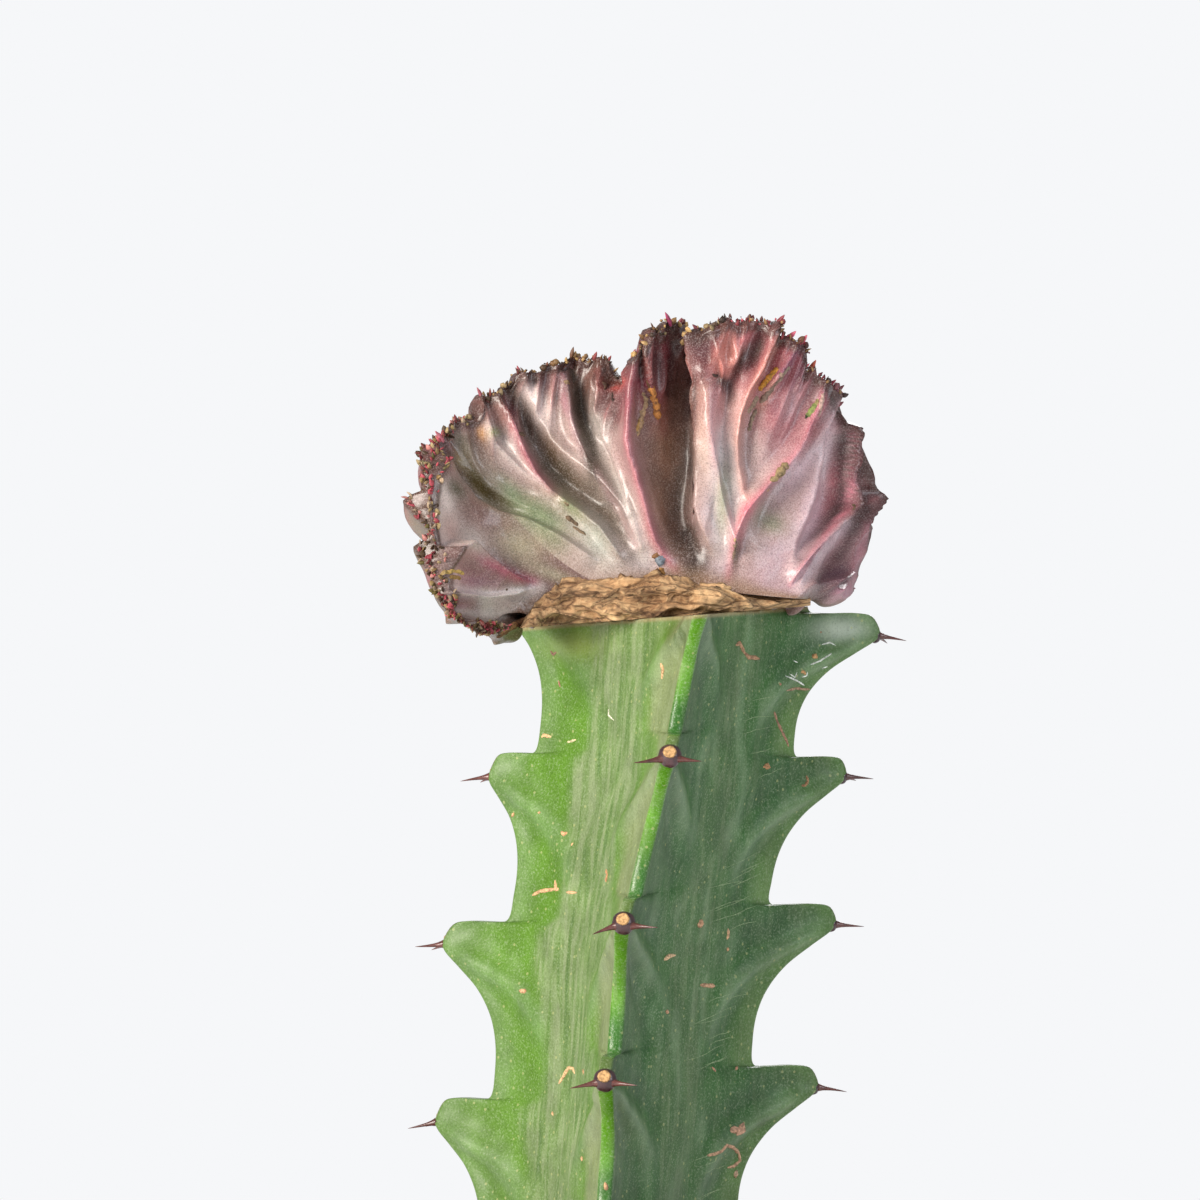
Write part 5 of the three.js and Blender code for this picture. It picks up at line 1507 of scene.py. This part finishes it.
# Raised corky marks on the stem, as seen from the front: width, colour, then places of x and height.
STEM_MARKS = [
    (0.42, "#b08a6a", [(23.2, 233.5), (23.9, 233.9), (24.8, 232.2), (25.6, 231.3), (26.8, 231.2),
        (27.7, 231)]),
    (0.34, "#a8826a", [(30.4, 221.4), (31, 219.6), (31.9, 217.7), (32.8, 216), (33.1, 215)]),
    (0.28, "#a88a70", [(32.6, 225.2), (34.4, 225.6), (36, 225.4), (37.6, 225.4)]),
    (0.5, "#c79a68", [(37.4, 231.2), (38, 231.5), (38.3, 231)]),
    (0.42, "#c79a68", [(35.3, 228.5), (35.8, 228.6), (36.2, 228.1)]),
    (0.4, "#b98c62", [(28.4, 211.4), (29.2, 211.9), (29.5, 211.4), (28.8, 211.2)]),
    (0.32, "#a8805c", [(36.4, 209.7), (36.7, 208.7), (36.2, 207.9), (35.5, 207.9)]),
    (0.4, "#e3b788", [(9.7, 230.4), (10.1, 229.4), (9.9, 227.6)]),
    (0.34, "#e6c08e", [(-11.7, 216.6), (-11.3, 217.1), (-10.6, 216.9), (-9.9, 216.8)]),
    (0.26, "#d8cba0", [(-7, 215.9), (-6.5, 216), (-5.4, 216.4)]),
    (0.22, "#e4e2cc", [(0.4, 222), (0.5, 220.9), (1.4, 220)]),
    (0.5, "#e0b285", [(-17.1, 202.7), (-16.7, 202.4)]),
    (0.4, "#e0b285", [(-12.1, 203.3), (-12.1, 202.9)]),
    (0.55, "#e2ad80", [(-8.1, 199.8), (-7.6, 199.3), (-7, 199.7)]),
    (0.3, "#d8a87c", [(-6.3, 197.3), (-5.9, 197.9)]),
    (0.42, "#dab084", [(-13.3, 188.1), (-11.9, 188.9), (-10.4, 189.2), (-9.2, 189.4)]),
    (0.5, "#dab084", [(-9.2, 191), (-9, 189.4), (-8.5, 189.4)]),
    (0.3, "#dab084", [(-7.2, 189), (-6.1, 189), (-5.2, 189)]),
    (0.34, "#c09068", [(0, 193.5), (0.2, 192.6), (0, 191.2)]),
    (0.5, "#dca982", [(-15.7, 170.9), (-14.9, 170.9), (-14.4, 170.9)]),
    (0.4, "#e2b98a", [(-8.5, 154.7), (-7.6, 156.1), (-6.7, 157.7), (-5.9, 157.7), (-5.6, 156.8)]),
    (0.3, "#c89a70", [(-4.1, 157.9), (-4, 157)]),
    (0.34, "#d5a87e", [(-9.7, 149.6), (-9.5, 148.9)]),
    (0.5, "#d5ab80", [(-4.3, 142.6), (-4.3, 141.7)]),
    (0.42, "#c49a74", [(-0.2, 138.8), (0, 137.9), (0, 137.4)]),
    (0.5, "#e0be94", [(10.3, 177.5), (11.2, 178.1), (12.4, 178.2)]),
    (0.4, "#d8b088", [(22, 182.4), (22, 181.3), (21.8, 180.4)]),
    (0.5, "#d5a87e", [(21.8, 178.8), (22.1, 178.4)]),
    (0.42, "#cfa582", [(16.9, 172.5), (18.2, 172.3), (19.6, 172.1)]),
    (0.55, "#cda27e", [(16.4, 183.6), (16.9, 183.3), (17.3, 183.6), (16.7, 184.2)]),
    (0.45, "#cda27e", [(10.6, 168.3), (11.2, 168)]),
    (0.4, "#c49478", [(19.1, 157.4), (19.8, 156.6)]),
    (0.36, "#c49478", [(23.4, 156.6), (23.8, 157.2)]),
    (0.7, "#cba184", [(22.5, 145.5), (23.2, 146), (23.9, 145.5), (24.7, 146.6), (24.8, 145.7),
        (23.6, 144.9)]),
    (0.42, "#c9a181", [(18.2, 141.5), (19.6, 141.7), (20.9, 142.1), (21.8, 143.1), (23, 142.6), (24.1, 141.3),
        (24.3, 139.9), (23.2, 139), (22, 138.8)]),
    (0.9, "#cfae90", [(23.2, 137.6), (23.9, 137.4)]),
    (0.3, "#9c7a66", [(-10.1, 232.4), (-9.5, 231.7), (-9, 232.2)]),
    (0.3, "#b07a6a", [(-8.6, 227), (-8.3, 225.8)]),
    (0.26, "#a08466", [(38.9, 235.8), (39.2, 235.7)]),
    (0.3, "#a87c64", [(31.3, 226.5), (31.7, 226.3)]),
    (0.2, "#e8ede4", [(32.4, 227.9), (33.7, 227.4), (34.9, 226.8), (36, 226.1)]),
    (0.18, "#e8ede4", [(33.1, 228.3), (34.2, 227.6), (34.6, 228.6)]),
    (0.18, "#e8ede4", [(35.5, 227.6), (36.4, 227.9), (36.5, 228.6)]),
    (0.18, "#dfe6da", [(37.1, 229.9), (38.9, 230.6), (40, 231.3), (41, 231.9)]),
    (0.18, "#e8ede4", [(34, 230.6), (34.7, 230.3)]),
    (0.18, "#e8ede4", [(39.2, 229.2), (40.3, 229.5)]),
    (0.18, "#dfe6da", [(39.2, 233.5), (40.7, 233.9), (41.8, 233.3)]),
]
# Steps of a line laid on a surface, and the largest jump in depth that it follows, in millimetres.
LINE_STEP = 0.45
LINE_JUMP = 2.5
# Fine pale hairlines that fan in from the notches of a wing: height of the notch, number of lines, length.
HAIRLINES = [(209.0, 5, 8.0), (180.5, 10, 12.0), (155.5, 9, 10.0), (128.0, 8, 10.0)]


def tinted_lines(lines, name):
    """Raised lines, each of its own colour: the lines are (places, widths, colour)."""
    made = []
    for places, widths, text in lines:
        curve = raised_lines(name)
        worm(curve, places, widths)
        part = as_mesh(curve, name)
        paint(part, "skin", np.tile(rgb(text), (len(part.data.vertices), 1)))
        made.append(part)
    return joined(made, name)


def laid_line(tree, places, sink):
    """A line given by x and height from the front, laid on a surface and sunk into it a little."""
    laid = []
    for (x, z), (next_x, next_z) in zip(places, places[1:]):
        steps = max(2, int(math.hypot(next_x - x, next_z - z) / LINE_STEP))
        for step in range(steps):
            laid.append((lerp(x, next_x, step / steps), lerp(z, next_z, step / steps)))
    laid.append(places[-1])
    points = []
    for x, z in laid:
        found = front_spot(tree, x, z)
        if found and (not points or abs(found[0][1] - points[-1][1]) < LINE_JUMP):
            points.append(found[0] - found[1] * sink)
    return points


class PLANT_OT_stem_marks(bpy.types.Operator):
    """Leaf scars, corky squiggles and fine hairlines on the stem"""
    bl_idname = "plant.stem_marks"
    bl_label = "Stem marks"

    def execute(self, context):
        tree = surface_of(bpy.data.objects["stem_skin"])
        draw = random.Random(5)
        lines = []
        for width, text, places in STEM_MARKS:
            points = laid_line(tree, places, 0.25 * width)
            if len(points) < 2:
                raise RuntimeError("a stem mark misses the stem near %s" % (places[0],))
            widths = [width * draw.uniform(0.7, 1.15) for _ in points]
            widths[0] = widths[-1] = 0.4 * width
            lines.append((points, widths, text))
        for z, count, length_out in HAIRLINES:
            wing = WINGS[0]
            for i in range(count):
                top = z + lerp(2.0, 17.0, (i + draw.random()) / count)
                start_x = float(lean(top)) + 23.5 * math.cos(wing_angle(wing, top)) + draw.uniform(-2.5, 1.0)
                bow = draw.uniform(-1.2, 1.2)
                fall = draw.uniform(0.1, 0.45)
                places = [(start_x - length_out * t, top - fall * length_out * t + bow * t * (1 - t) * 2
                           + draw.uniform(-0.15, 0.15)) for t in np.linspace(0, draw.uniform(0.5, 1.0), 7)]
                points = laid_line(tree, places, 0.03)
                if len(points) > 3:
                    many = len(points)
                    widths = [0.06 * math.sin(math.pi * (k + 0.4) / many) + 0.01 for k in range(many)]
                    lines.append((points, widths, "#93a97e"))
        piece = tinted_lines(lines, "stem_marks")
        scars = []
        for wing, z, reach in thorny_tips():
            front = wing["angle"] == FRONT_ANGLE
            tilt = Matrix.Rotation(math.radians(74 if front else 35), 4, "Y")
            out, up = (reach + 0.75, 0) if front else (reach - 0.6, 0.6)
            spot = Matrix.Translation((out * MM, 0, up * MM))
            size = Matrix.Diagonal((1.15, 1.2, 0.6, 1)) if front else Matrix.Diagonal((0.7, 0.75, 0.5, 1))
            tint = rgb("#c39a68") * draw.uniform(0.8, 1.1)
            scars.append((tooth_frame(wing, z) @ spot @ tilt @ size, tint))
        piece = joined([piece, copies(leaf_scar(), scars, "leaf_scars")], "stem_scars")
        finished(piece, dry_scar(), "cork")
        return {"FINISHED"}


# Corky strips and scabs on the head, as seen from the front: width, colour, then places right of and above
# the hub.
HEAD_MARKS = [
    (1.1, "#a88a6a", [(-3.2, 36.5), (-2.5, 34.7), (-3, 32.9), (-3.6, 30.6), (-4.1, 28.4)]),
    (0.9, "#b28a52", [(-3.4, 31.9), (-4.3, 29)]),
    (1, "#b5793f", [(-2, 37.3), (-1.2, 35.8), (-0.7, 33.7), (-0.3, 31.5)]),
    (0.8, "#8a5a34", [(-0.9, 35.1), (-0.2, 32.4)]),
    (0.5, "#6d4a34", [(-2.5, 38.7), (-1.8, 36.5), (-1.1, 34.4)]),
    (1.2, "#c9923c", [(21.1, 41), (20.2, 39.8), (18.9, 38.2), (17.7, 36.7)]),
    (0.8, "#d6a24a", [(20.5, 40.1), (19.3, 38.5), (17.8, 37.1)]),
    (0.9, "#8b7566", [(22, 39.8), (20.5, 37.6), (19.1, 35.8), (17.8, 34.4)]),
    (0.8, "#9c8a78", [(23.4, 41.2), (22.2, 39.6), (21.1, 38)]),
    (1, "#9b8470", [(17.5, 35.8), (16.6, 34), (15.7, 32.6)]),
    (0.7, "#8f7b68", [(17.3, 33.5), (16.4, 31.5), (15.9, 29.3)]),
    (1.1, "#9a8560", [(22.9, 23.8), (22, 22.9), (20.9, 21.4), (20, 20.2)]),
    (0.5, "#6e5a44", [(22.5, 23.2), (21.4, 21.6), (20.5, 20.5)]),
    (0.7, "#a88a66", [(19.8, 19.3), (19.1, 18.4)]),
    (1, "#7f8a4c", [(28.1, 34.6), (27.2, 33.1), (26.3, 32)]),
    (0.7, "#30381f", [(27.7, 34.2), (26.8, 32.8), (26.1, 31.7)]),
    (0.8, "#a09262", [(28.5, 35.5), (27.9, 33.8), (27.2, 32.6)]),
    (0.6, "#b89a8e", [(29.5, 36.5), (29, 34.4), (28.6, 32)]),
    (0.6, "#8a7462", [(13.7, 9.9), (13.5, 8.3), (13, 6.3)]),
    (0.5, "#b79c74", [(13.5, 10.3), (13.5, 9.4)]),
    (0.8, "#c9a860", [(-38.3, 3.8), (-37.1, 4.3), (-35.8, 4.1), (-34.9, 3.6)]),
    (0.6, "#a5824c", [(-37.8, 3.1), (-36.3, 3.2), (-35.3, 2.9)]),
    (0.8, "#6b5844", [(-16.9, 14.2), (-15.8, 13.3), (-14.6, 12.4)]),
    (0.6, "#7a6650", [(-15.8, 12.4), (-14.4, 11.5), (-13.3, 10.8)]),
    (0.5, "#5c4a3a", [(-27.6, 1.1), (-27.2, 0.8)]),
    (1.5, "#77808a", [(-0.6, 6.9), (0, 6.1), (0.7, 5.6)]),
    (1.2, "#7a5636", [(-1.6, 6.6), (-0.7, 7.2), (-0.3, 6.4)]),
    (1.4, "#a3763f", [(-0.2, 5), (0.2, 4.2), (0.5, 3.2)]),
    (0.8, "#6d5948", [(-25.5, 29), (-24.8, 29), (-24.3, 28.6)]),
    (0.7, "#8a7358", [(-17.3, 38.7), (-16.5, 38.3), (-16.2, 38)]),
    (0.8, "#5b4438", [(-10.4, 38.5), (-9.7, 37.8), (-10.1, 36.9)]),
    (0.6, "#3a2c26", [(-8.6, 36.5), (-8.4, 34.7)]),
    (0.7, "#4c3a34", [(9.2, 39.6), (9.9, 39.2), (10.6, 39.4)]),
    (0.5, "#8c7a5c", [(-17.3, 16.7), (-16.7, 16.2), (-16.2, 16.4)]),
    (0.5, "#6f5b46", [(34.8, 16.6), (35.3, 16), (34.8, 15.1)]),
    (0.7, "#9c7a54", [(-23.7, -4.9), (-21.9, -3.2), (-20, -1.6), (-18.2, 0.2)]),
    (0.9, "#6a4a30", [(-29.3, -7.7), (-27.3, -6.5), (-25.2, -5.2), (-23.4, -3.8)]),
    (0.8, "#8a6540", [(-28.8, -7), (-26.6, -5.8), (-24.5, -4.1)]),
]


class PLANT_OT_head_marks(bpy.types.Operator):
    """Corky strips and scabs on the front of the head"""
    bl_idname = "plant.head_marks"
    bl_label = "Head marks"

    def execute(self, context):
        tree = surface_of(bpy.data.objects["crest_skin"])
        draw = random.Random(9)
        lines = []
        for width, text, places in HEAD_MARKS:
            points = laid_line(tree, [(x + HUB[0], z + HUB[2]) for x, z in places], 0.3 * width)
            if len(points) < 2:
                raise RuntimeError("a head mark misses the head near %s" % (places[0],))
            widths = [width * draw.uniform(0.5, 0.8) for _ in points]
            widths[0] = widths[-1] = 0.25 * width
            lines.append((points, widths, text))
        piece = tinted_lines(lines, "head_scars")
        points = points_of(piece)
        points += 0.16 * np.stack([grain(points, 0.6, seed) for seed in (1.0, 4.0, 7.0)], -1)
        move_points(piece, points)
        finished(piece, dry_scar(), "cork")
        return {"FINISHED"}


# The pot and its soil.
# Steps of the pot's profile in millimetres, and points round the pot and the soil.
WALL_STEP = 2.2
POT_STEPS = 120
SOIL_STEPS = 150


def pot_inside(z):
    return lerp(POT_FOOT_RADIUS - POT_WALL, POT_RADIUS - POT_WALL - 1, z / POT_HEIGHT)


def pot_profile():
    """The pot's wall from the drain hole out, up, over the rim and down inside, in steps of about 2 mm."""
    band = POT_HEIGHT - RIM_BAND
    under = lerp(POT_FOOT_RADIUS, POT_RADIUS, band / POT_HEIGHT) - 2.5
    corners = [
        (DRAIN_RADIUS, 0), (POT_FOOT_RADIUS - 1.5, 0), (POT_FOOT_RADIUS, 1.5), (under, band - 1),
        (POT_RADIUS - 3.5, band), (POT_RADIUS - 2.5, band + 1.2), (POT_RADIUS, POT_HEIGHT - 3),
        (POT_RADIUS - 0.9, POT_HEIGHT - 0.9), (POT_RADIUS - 3, POT_HEIGHT),
        (pot_inside(POT_HEIGHT) + 0.8, POT_HEIGHT - 0.9), (pot_inside(POT_HEIGHT), POT_HEIGHT - 3),
        (pot_inside(POT_FLOOR), POT_FLOOR), (DRAIN_RADIUS, POT_FLOOR), (DRAIN_RADIUS, 0),
    ]
    rows = []
    for (radius, z), (next_radius, next_z) in zip(corners, corners[1:]):
        steps = max(1, round(math.hypot(next_radius - radius, next_z - z) / WALL_STEP))
        rows += [(lerp(radius, next_radius, k / steps), lerp(z, next_z, k / steps)) for k in range(steps)]
    return rows + [corners[-1]]


def terracotta(settings):
    """Unglazed terracotta, thrown and fired: matt and grainy, with pale bloom and damp darker patches."""
    material, tree = blank("unglazed_terracotta")
    where = node(tree, "TexCoord").outputs["Object"]
    grit = node(tree, "TexNoise", {"Vector": where, "Scale": 1 / 0.0009, "Detail": 5.0, "Roughness": 0.7})
    clouds = node(tree, "TexNoise", {"Vector": where, "Scale": 1 / 0.028, "Detail": 5.0, "Roughness": 0.6})
    rings = node(tree, "Mapping", {"Vector": where, "Scale": (0.12, 0.12, 1.0)})
    turning = node(tree, "TexNoise", {"Vector": rings, "Scale": 1 / 0.0028, "Detail": 3.0})
    tone = node(tree, "ValToRGB", {"Fac": clouds}, ramp=[(0.3, 0.78), (0.7, 1.08)])
    body = node(tree, "Mix", {0: 1.0, 6: settings.clay, 7: tone}, **DARKEN)
    bloom = node(tree, "ValToRGB", {"Fac": clouds}, ramp=[(0.52, 0.0), (0.74, 0.7)])
    low = node(tree, "SeparateXYZ", {"Vector": where}).outputs["Z"]
    rim = node(tree, "MapRange", {
        "Value": low, "From Min": 0.086, "From Max": 0.104, "To Min": 0.0, "To Max": 0.28})
    foot = node(tree, "MapRange", {
        "Value": low, "From Min": 0.0, "From Max": 0.018, "To Min": 0.34, "To Max": 0.0})
    chalky = node(tree, "Math", {0: bloom, 1: rim}, operation="ADD")
    pale = node(tree, "Math", {0: chalky, 1: foot}, operation="ADD", use_clamp=True)
    patchy = node(tree, "Math", {0: grit, 1: 1.4}, operation="MULTIPLY_ADD")
    grainy = node(tree, "Math", {0: pale, 1: patchy}, operation="MULTIPLY", use_clamp=True)
    bloomed = node(tree, "Mix", {0: grainy, 6: body, 7: settings.bloom}, **BLEND)
    speckle = node(tree, "ValToRGB", {"Fac": grit}, ramp=[(0.3, 0.7), (0.5, 1.0)])
    mixed = node(tree, "Mix", {0: 1.0, 6: bloomed, 7: speckle}, **DARKEN)
    fine = node(tree, "Math", {0: grit, 1: 0.45}, operation="MULTIPLY")
    height = node(tree, "Math", {0: fine, 1: turning}, operation="ADD")
    shader = node(tree, "BsdfPrincipled", {"Base Color": mixed, "Roughness": 0.86, "IOR": 1.5,
                                           "Specular IOR Level": 0.35})
    finish_surface(tree, shader, height, 0.0004, 0.7)
    return material


class PLANT_OT_pot(bpy.types.Operator):
    """Clay pot with a thick rim band and a drain hole"""
    bl_idname = "plant.pot"
    bl_label = "Clay pot"

    def execute(self, context):
        piece = turned("clay_pot", pot_profile(), POT_STEPS)
        points = points_of(piece)
        radius = np.maximum(np.hypot(points[:, 0], points[:, 1]), 1e-6)
        z = points[:, 2]
        outside = (radius > pot_inside(z) + 2) & (z > 3) & (z < POT_HEIGHT - 2)
        rings = 0.14 * np.sin(z * 1.9) + 0.22 * grain(points, 16.0) + 0.08 * grain(points, 3.0)
        points[:, :2] *= (1 + (rings - 0.2) * outside / radius)[:, None]
        move_points(piece, points)
        close_up(piece)
        finished(piece, terracotta(context.scene.coral_plant.pot), "clay", "pot")
        return {"FINISHED"}


def potting_soil(settings):
    """Damp peat soil: nearly black crumbs with brown fibres, matt."""
    material, tree = blank("damp_potting_soil")
    where = node(tree, "TexCoord").outputs["Object"]
    skin = node(tree, "Attribute", attribute_name="skin")
    crumbs = node(tree, "TexVoronoi", {"Vector": where, "Scale": 1 / 0.0021}, feature="F1")
    fine = node(tree, "TexNoise", {"Vector": where, "Scale": 1 / 0.0008, "Detail": 5.0, "Roughness": 0.7})
    shade = node(tree, "ValToRGB", {"Fac": fine}, ramp=[(0.3, 0.5), (0.68, 1.45)])
    mixed = node(tree, "Mix", {0: 1.0, 6: skin, 7: shade}, **DARKEN)
    height = node(tree, "Math", {0: fine, 1: crumbs}, operation="SUBTRACT")
    shader = node(tree, "BsdfPrincipled", {"Base Color": mixed, "Roughness": 0.92, "IOR": 1.4})
    finish_surface(tree, shader, height, 0.0009, 0.9)
    return material


def soil_height(x, y):
    """Height of the crumbly soil: a little higher towards the stem, with lumps."""
    points = np.stack([x, y, 0 * x], -1)
    share = np.clip(np.hypot(x, y) / pot_inside(SOIL_TOP), 0, 1)
    mound = 4.2 * (1 - share) * share
    return (SOIL_TOP + 0.4 + mound + 1.2 * grain(points, 9.0) + 0.8 * grain(points, 3.2, 4.0)
            + 0.3 * grain(points, 1.3, 2.0))


class PLANT_OT_soil(bpy.types.Operator):
    """Potting soil that fills the pot, with perlite, grit and bark on it"""
    bl_idname = "plant.soil"
    bl_label = "Potting soil"

    def execute(self, context):
        settings = context.scene.coral_plant.pot
        outer = pot_inside(SOIL_TOP) - 0.3
        profile = [(COLLAR_RADIUS - 0.2, SOIL_TOP + 1)]
        profile += [(lerp(COLLAR_RADIUS, outer, k / 26), SOIL_TOP + 1) for k in range(1, 27)]
        profile += [(pot_inside(z) - 0.3, z) for z in np.linspace(SOIL_TOP - 2, POT_FLOOR + 0.4, 12)]
        profile += [(20.0, POT_FLOOR + 0.3), (6.0, POT_FLOOR + 0.3), (0.6, POT_FLOOR + 0.3)]
        piece = turned("potting_mix", profile, SOIL_STEPS)
        points = points_of(piece)
        top = points[:, 2] > SOIL_TOP
        points[top, 2] = soil_height(points[top, 0], points[top, 1])
        rim = top & (np.hypot(points[:, 0], points[:, 1]) < COLLAR_RADIUS)
        points[rim, 2] -= 1.5
        move_points(piece, points)
        skin = np.tile(rgb(settings.earth), (len(points), 1))
        skin = stain(skin, "#5a4230", 0.5 * smoothstep(grain(points, 5.0, 2.0), 0, 0.5))
        paint(piece, "skin", skin)
        close_up(piece)
        draw = random.Random(21)
        grains = []
        bark = "#5c4331"
        kinds = ["#e6e2d8", "#8f8578", "#a98a66", bark, "#3a2a20"]
        shares = [0.16, 0.16, 0.12, 0.28, 0.28]
        for _ in range(settings.grains):
            radius = math.sqrt(draw.uniform(19.5**2, (outer - 1.6)**2))
            angle = draw.uniform(0, 2 * math.pi)
            x, y = radius * math.cos(angle), radius * math.sin(angle)
            z = float(soil_height(np.array([x]), np.array([y]))[0])
            text = draw.choices(kinds, shares)[0]
            size = draw.uniform(1.2, 3.8) if text == bark else draw.uniform(0.9, 2.6)
            shape = (size, size * draw.uniform(0.5, 0.9), size * draw.uniform(0.35, 0.75))
            direction = (draw.uniform(-0.5, 0.5), draw.uniform(-0.5, 0.5), 1)
            tint = rgb(text) * draw.uniform(0.75, 1.15)
            place = (x, y, z + 0.1 * size)
            grains.append((frame_to(direction, place, shape, draw.uniform(0, FULL_TURN)), tint))
        loose = copies(lumpy_grain("soil_grain"), grains, "soil_grains")
        finished(piece, potting_soil(settings), "soil", "soil")
        finished(loose, dry_scales(), "soil")
        return {"FINISHED"}


# The stage.
def pale_floor(settings):
    """A plain pale studio floor: matt paper."""
    material, tree = blank("pale_studio_paper")
    where = node(tree, "TexCoord").outputs["Object"]
    fibre = node(tree, "TexNoise", {"Vector": where, "Scale": 1 / 0.004, "Detail": 3.0})
    tone = node(tree, "ValToRGB", {"Fac": fibre}, ramp=[(0.3, "#eceef0"), (0.7, "#f3f4f6")])
    shader = node(tree, "BsdfPrincipled", {"Base Color": tone, "Roughness": 0.9})
    finish_surface(tree, shader)
    return material


LIT_HEIGHT = 0.22
FLOOR_RADIUS = 1.1
SENSOR = 36.0
# Where the camera stands, right of and above the middle of the pot's foot, in metres.
CAMERA_X, CAMERA_Z = -0.00108, 0.2416


def soft_light(name, place, size, power, text):
    """A square soft light at a place in metres, aimed at the head."""
    bpy.ops.object.light_add(type="AREA", location=place)
    lamp = bpy.context.object
    lamp.name = name
    lamp.data.shape = "SQUARE"
    lamp.data.size = size
    lamp.data.energy = power
    lamp.data.color = linear(text)[:3]
    lamp.rotation_euler = (Vector((0, 0, LIT_HEIGHT)) - Vector(place)).to_track_quat("-Z", "Y").to_euler()


class PLANT_OT_stage(bpy.types.Operator):
    """Pale floor, soft light from the upper left and the camera, level with the graft"""
    bl_idname = "plant.stage"
    bl_label = "Stage"

    def execute(self, context):
        scene = context.scene
        settings = scene.coral_plant.stage
        bpy.ops.mesh.primitive_circle_add(
            vertices=128, radius=FLOOR_RADIUS, fill_type="NGON", location=(0, 0, -0.0002))
        floor = context.object
        activate(floor, "studio_floor")
        bpy.ops.object.transform_apply(location=True, rotation=True, scale=True)
        floor.data.materials.append(pale_floor(settings))
        soft_light("key_light", (-1.05, -1.0, 0.62), 0.75, 34.0, "#fff6ec")
        soft_light("fill_light", (1.0, -0.9, 0.7), 0.7, 7.0, "#f2f6ff")
        soft_light("back_light", (0.3, 1.1, 0.9), 0.6, 8.0, "#ffffff")
        world = scene.world or bpy.data.worlds.new("studio")
        scene.world = world
        world.use_nodes = True
        world.node_tree.nodes.clear()
        tree = world.node_tree
        seen = node(tree, "Background", {"Color": settings.backdrop, "Strength": 1.0})
        lit = node(tree, "Background", {"Color": settings.backdrop, "Strength": 0.34})
        straight = node(tree, "LightPath").outputs["Is Camera Ray"]
        both = node(tree, "MixShader", {0: straight, 1: lit, 2: seen})
        node(tree, "OutputWorld", {"Surface": both})
        scene.view_settings.view_transform = "Standard"
        scene.view_settings.look = "None"
        bpy.ops.object.camera_add(
            location=(CAMERA_X, -settings.distance, CAMERA_Z), rotation=(math.pi / 2, 0, 0))
        camera = context.object
        camera.name = "photo_camera"
        camera.data.sensor_width = SENSOR
        camera.data.lens = SENSOR * settings.distance / settings.view
        camera.data.clip_end = 20.0
        scene.camera = camera
        bpy.ops.object.select_all(action="DESELECT")
        return {"FINISHED"}


OPERATORS = (
    PLANT_OT_stage, PLANT_OT_pot, PLANT_OT_soil, PLANT_OT_stem, PLANT_OT_thorns, PLANT_OT_stem_marks,
    PLANT_OT_graft, PLANT_OT_head, PLANT_OT_growing_edge, PLANT_OT_head_marks,
)


class PLANT_PT_panel(bpy.types.Panel):
    """Settings and steps of the plant"""
    bl_idname = "PLANT_PT_panel"
    bl_label = "Potted coral cactus"
    bl_space_type = "VIEW_3D"
    bl_region_type = "UI"
    bl_category = "Plant"

    def draw(self, context):
        settings = context.scene.coral_plant
        for group in ("head", "graft", "stem", "pot", "stage"):
            box = self.layout.box()
            box.label(text=group.capitalize())
            chosen = getattr(settings, group)
            for name in chosen.__annotations__:
                box.prop(chosen, name)
        for operator in OPERATORS:
            self.layout.operator(operator.bl_idname)


CLASSES = (PlantHead, PlantGraft, PlantStem, PlantPot, PlantStage, PlantSettings, *OPERATORS, PLANT_PT_panel)


def register():
    for each in CLASSES:
        bpy.utils.register_class(each)
    bpy.types.Scene.coral_plant = bpy.props.PointerProperty(type=PlantSettings)


def unregister():
    del bpy.types.Scene.coral_plant
    for each in reversed(CLASSES):
        bpy.utils.unregister_class(each)


def main():
    register()
    bpy.ops.plant.stage()
    bpy.ops.plant.pot()
    bpy.ops.plant.soil()
    bpy.ops.plant.stem()
    bpy.ops.plant.thorns()
    bpy.ops.plant.stem_marks()
    bpy.ops.plant.graft()
    bpy.ops.plant.head()
    bpy.ops.plant.growing_edge()
    bpy.ops.plant.head_marks()
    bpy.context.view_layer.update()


if __name__ == "__main__":
    main()
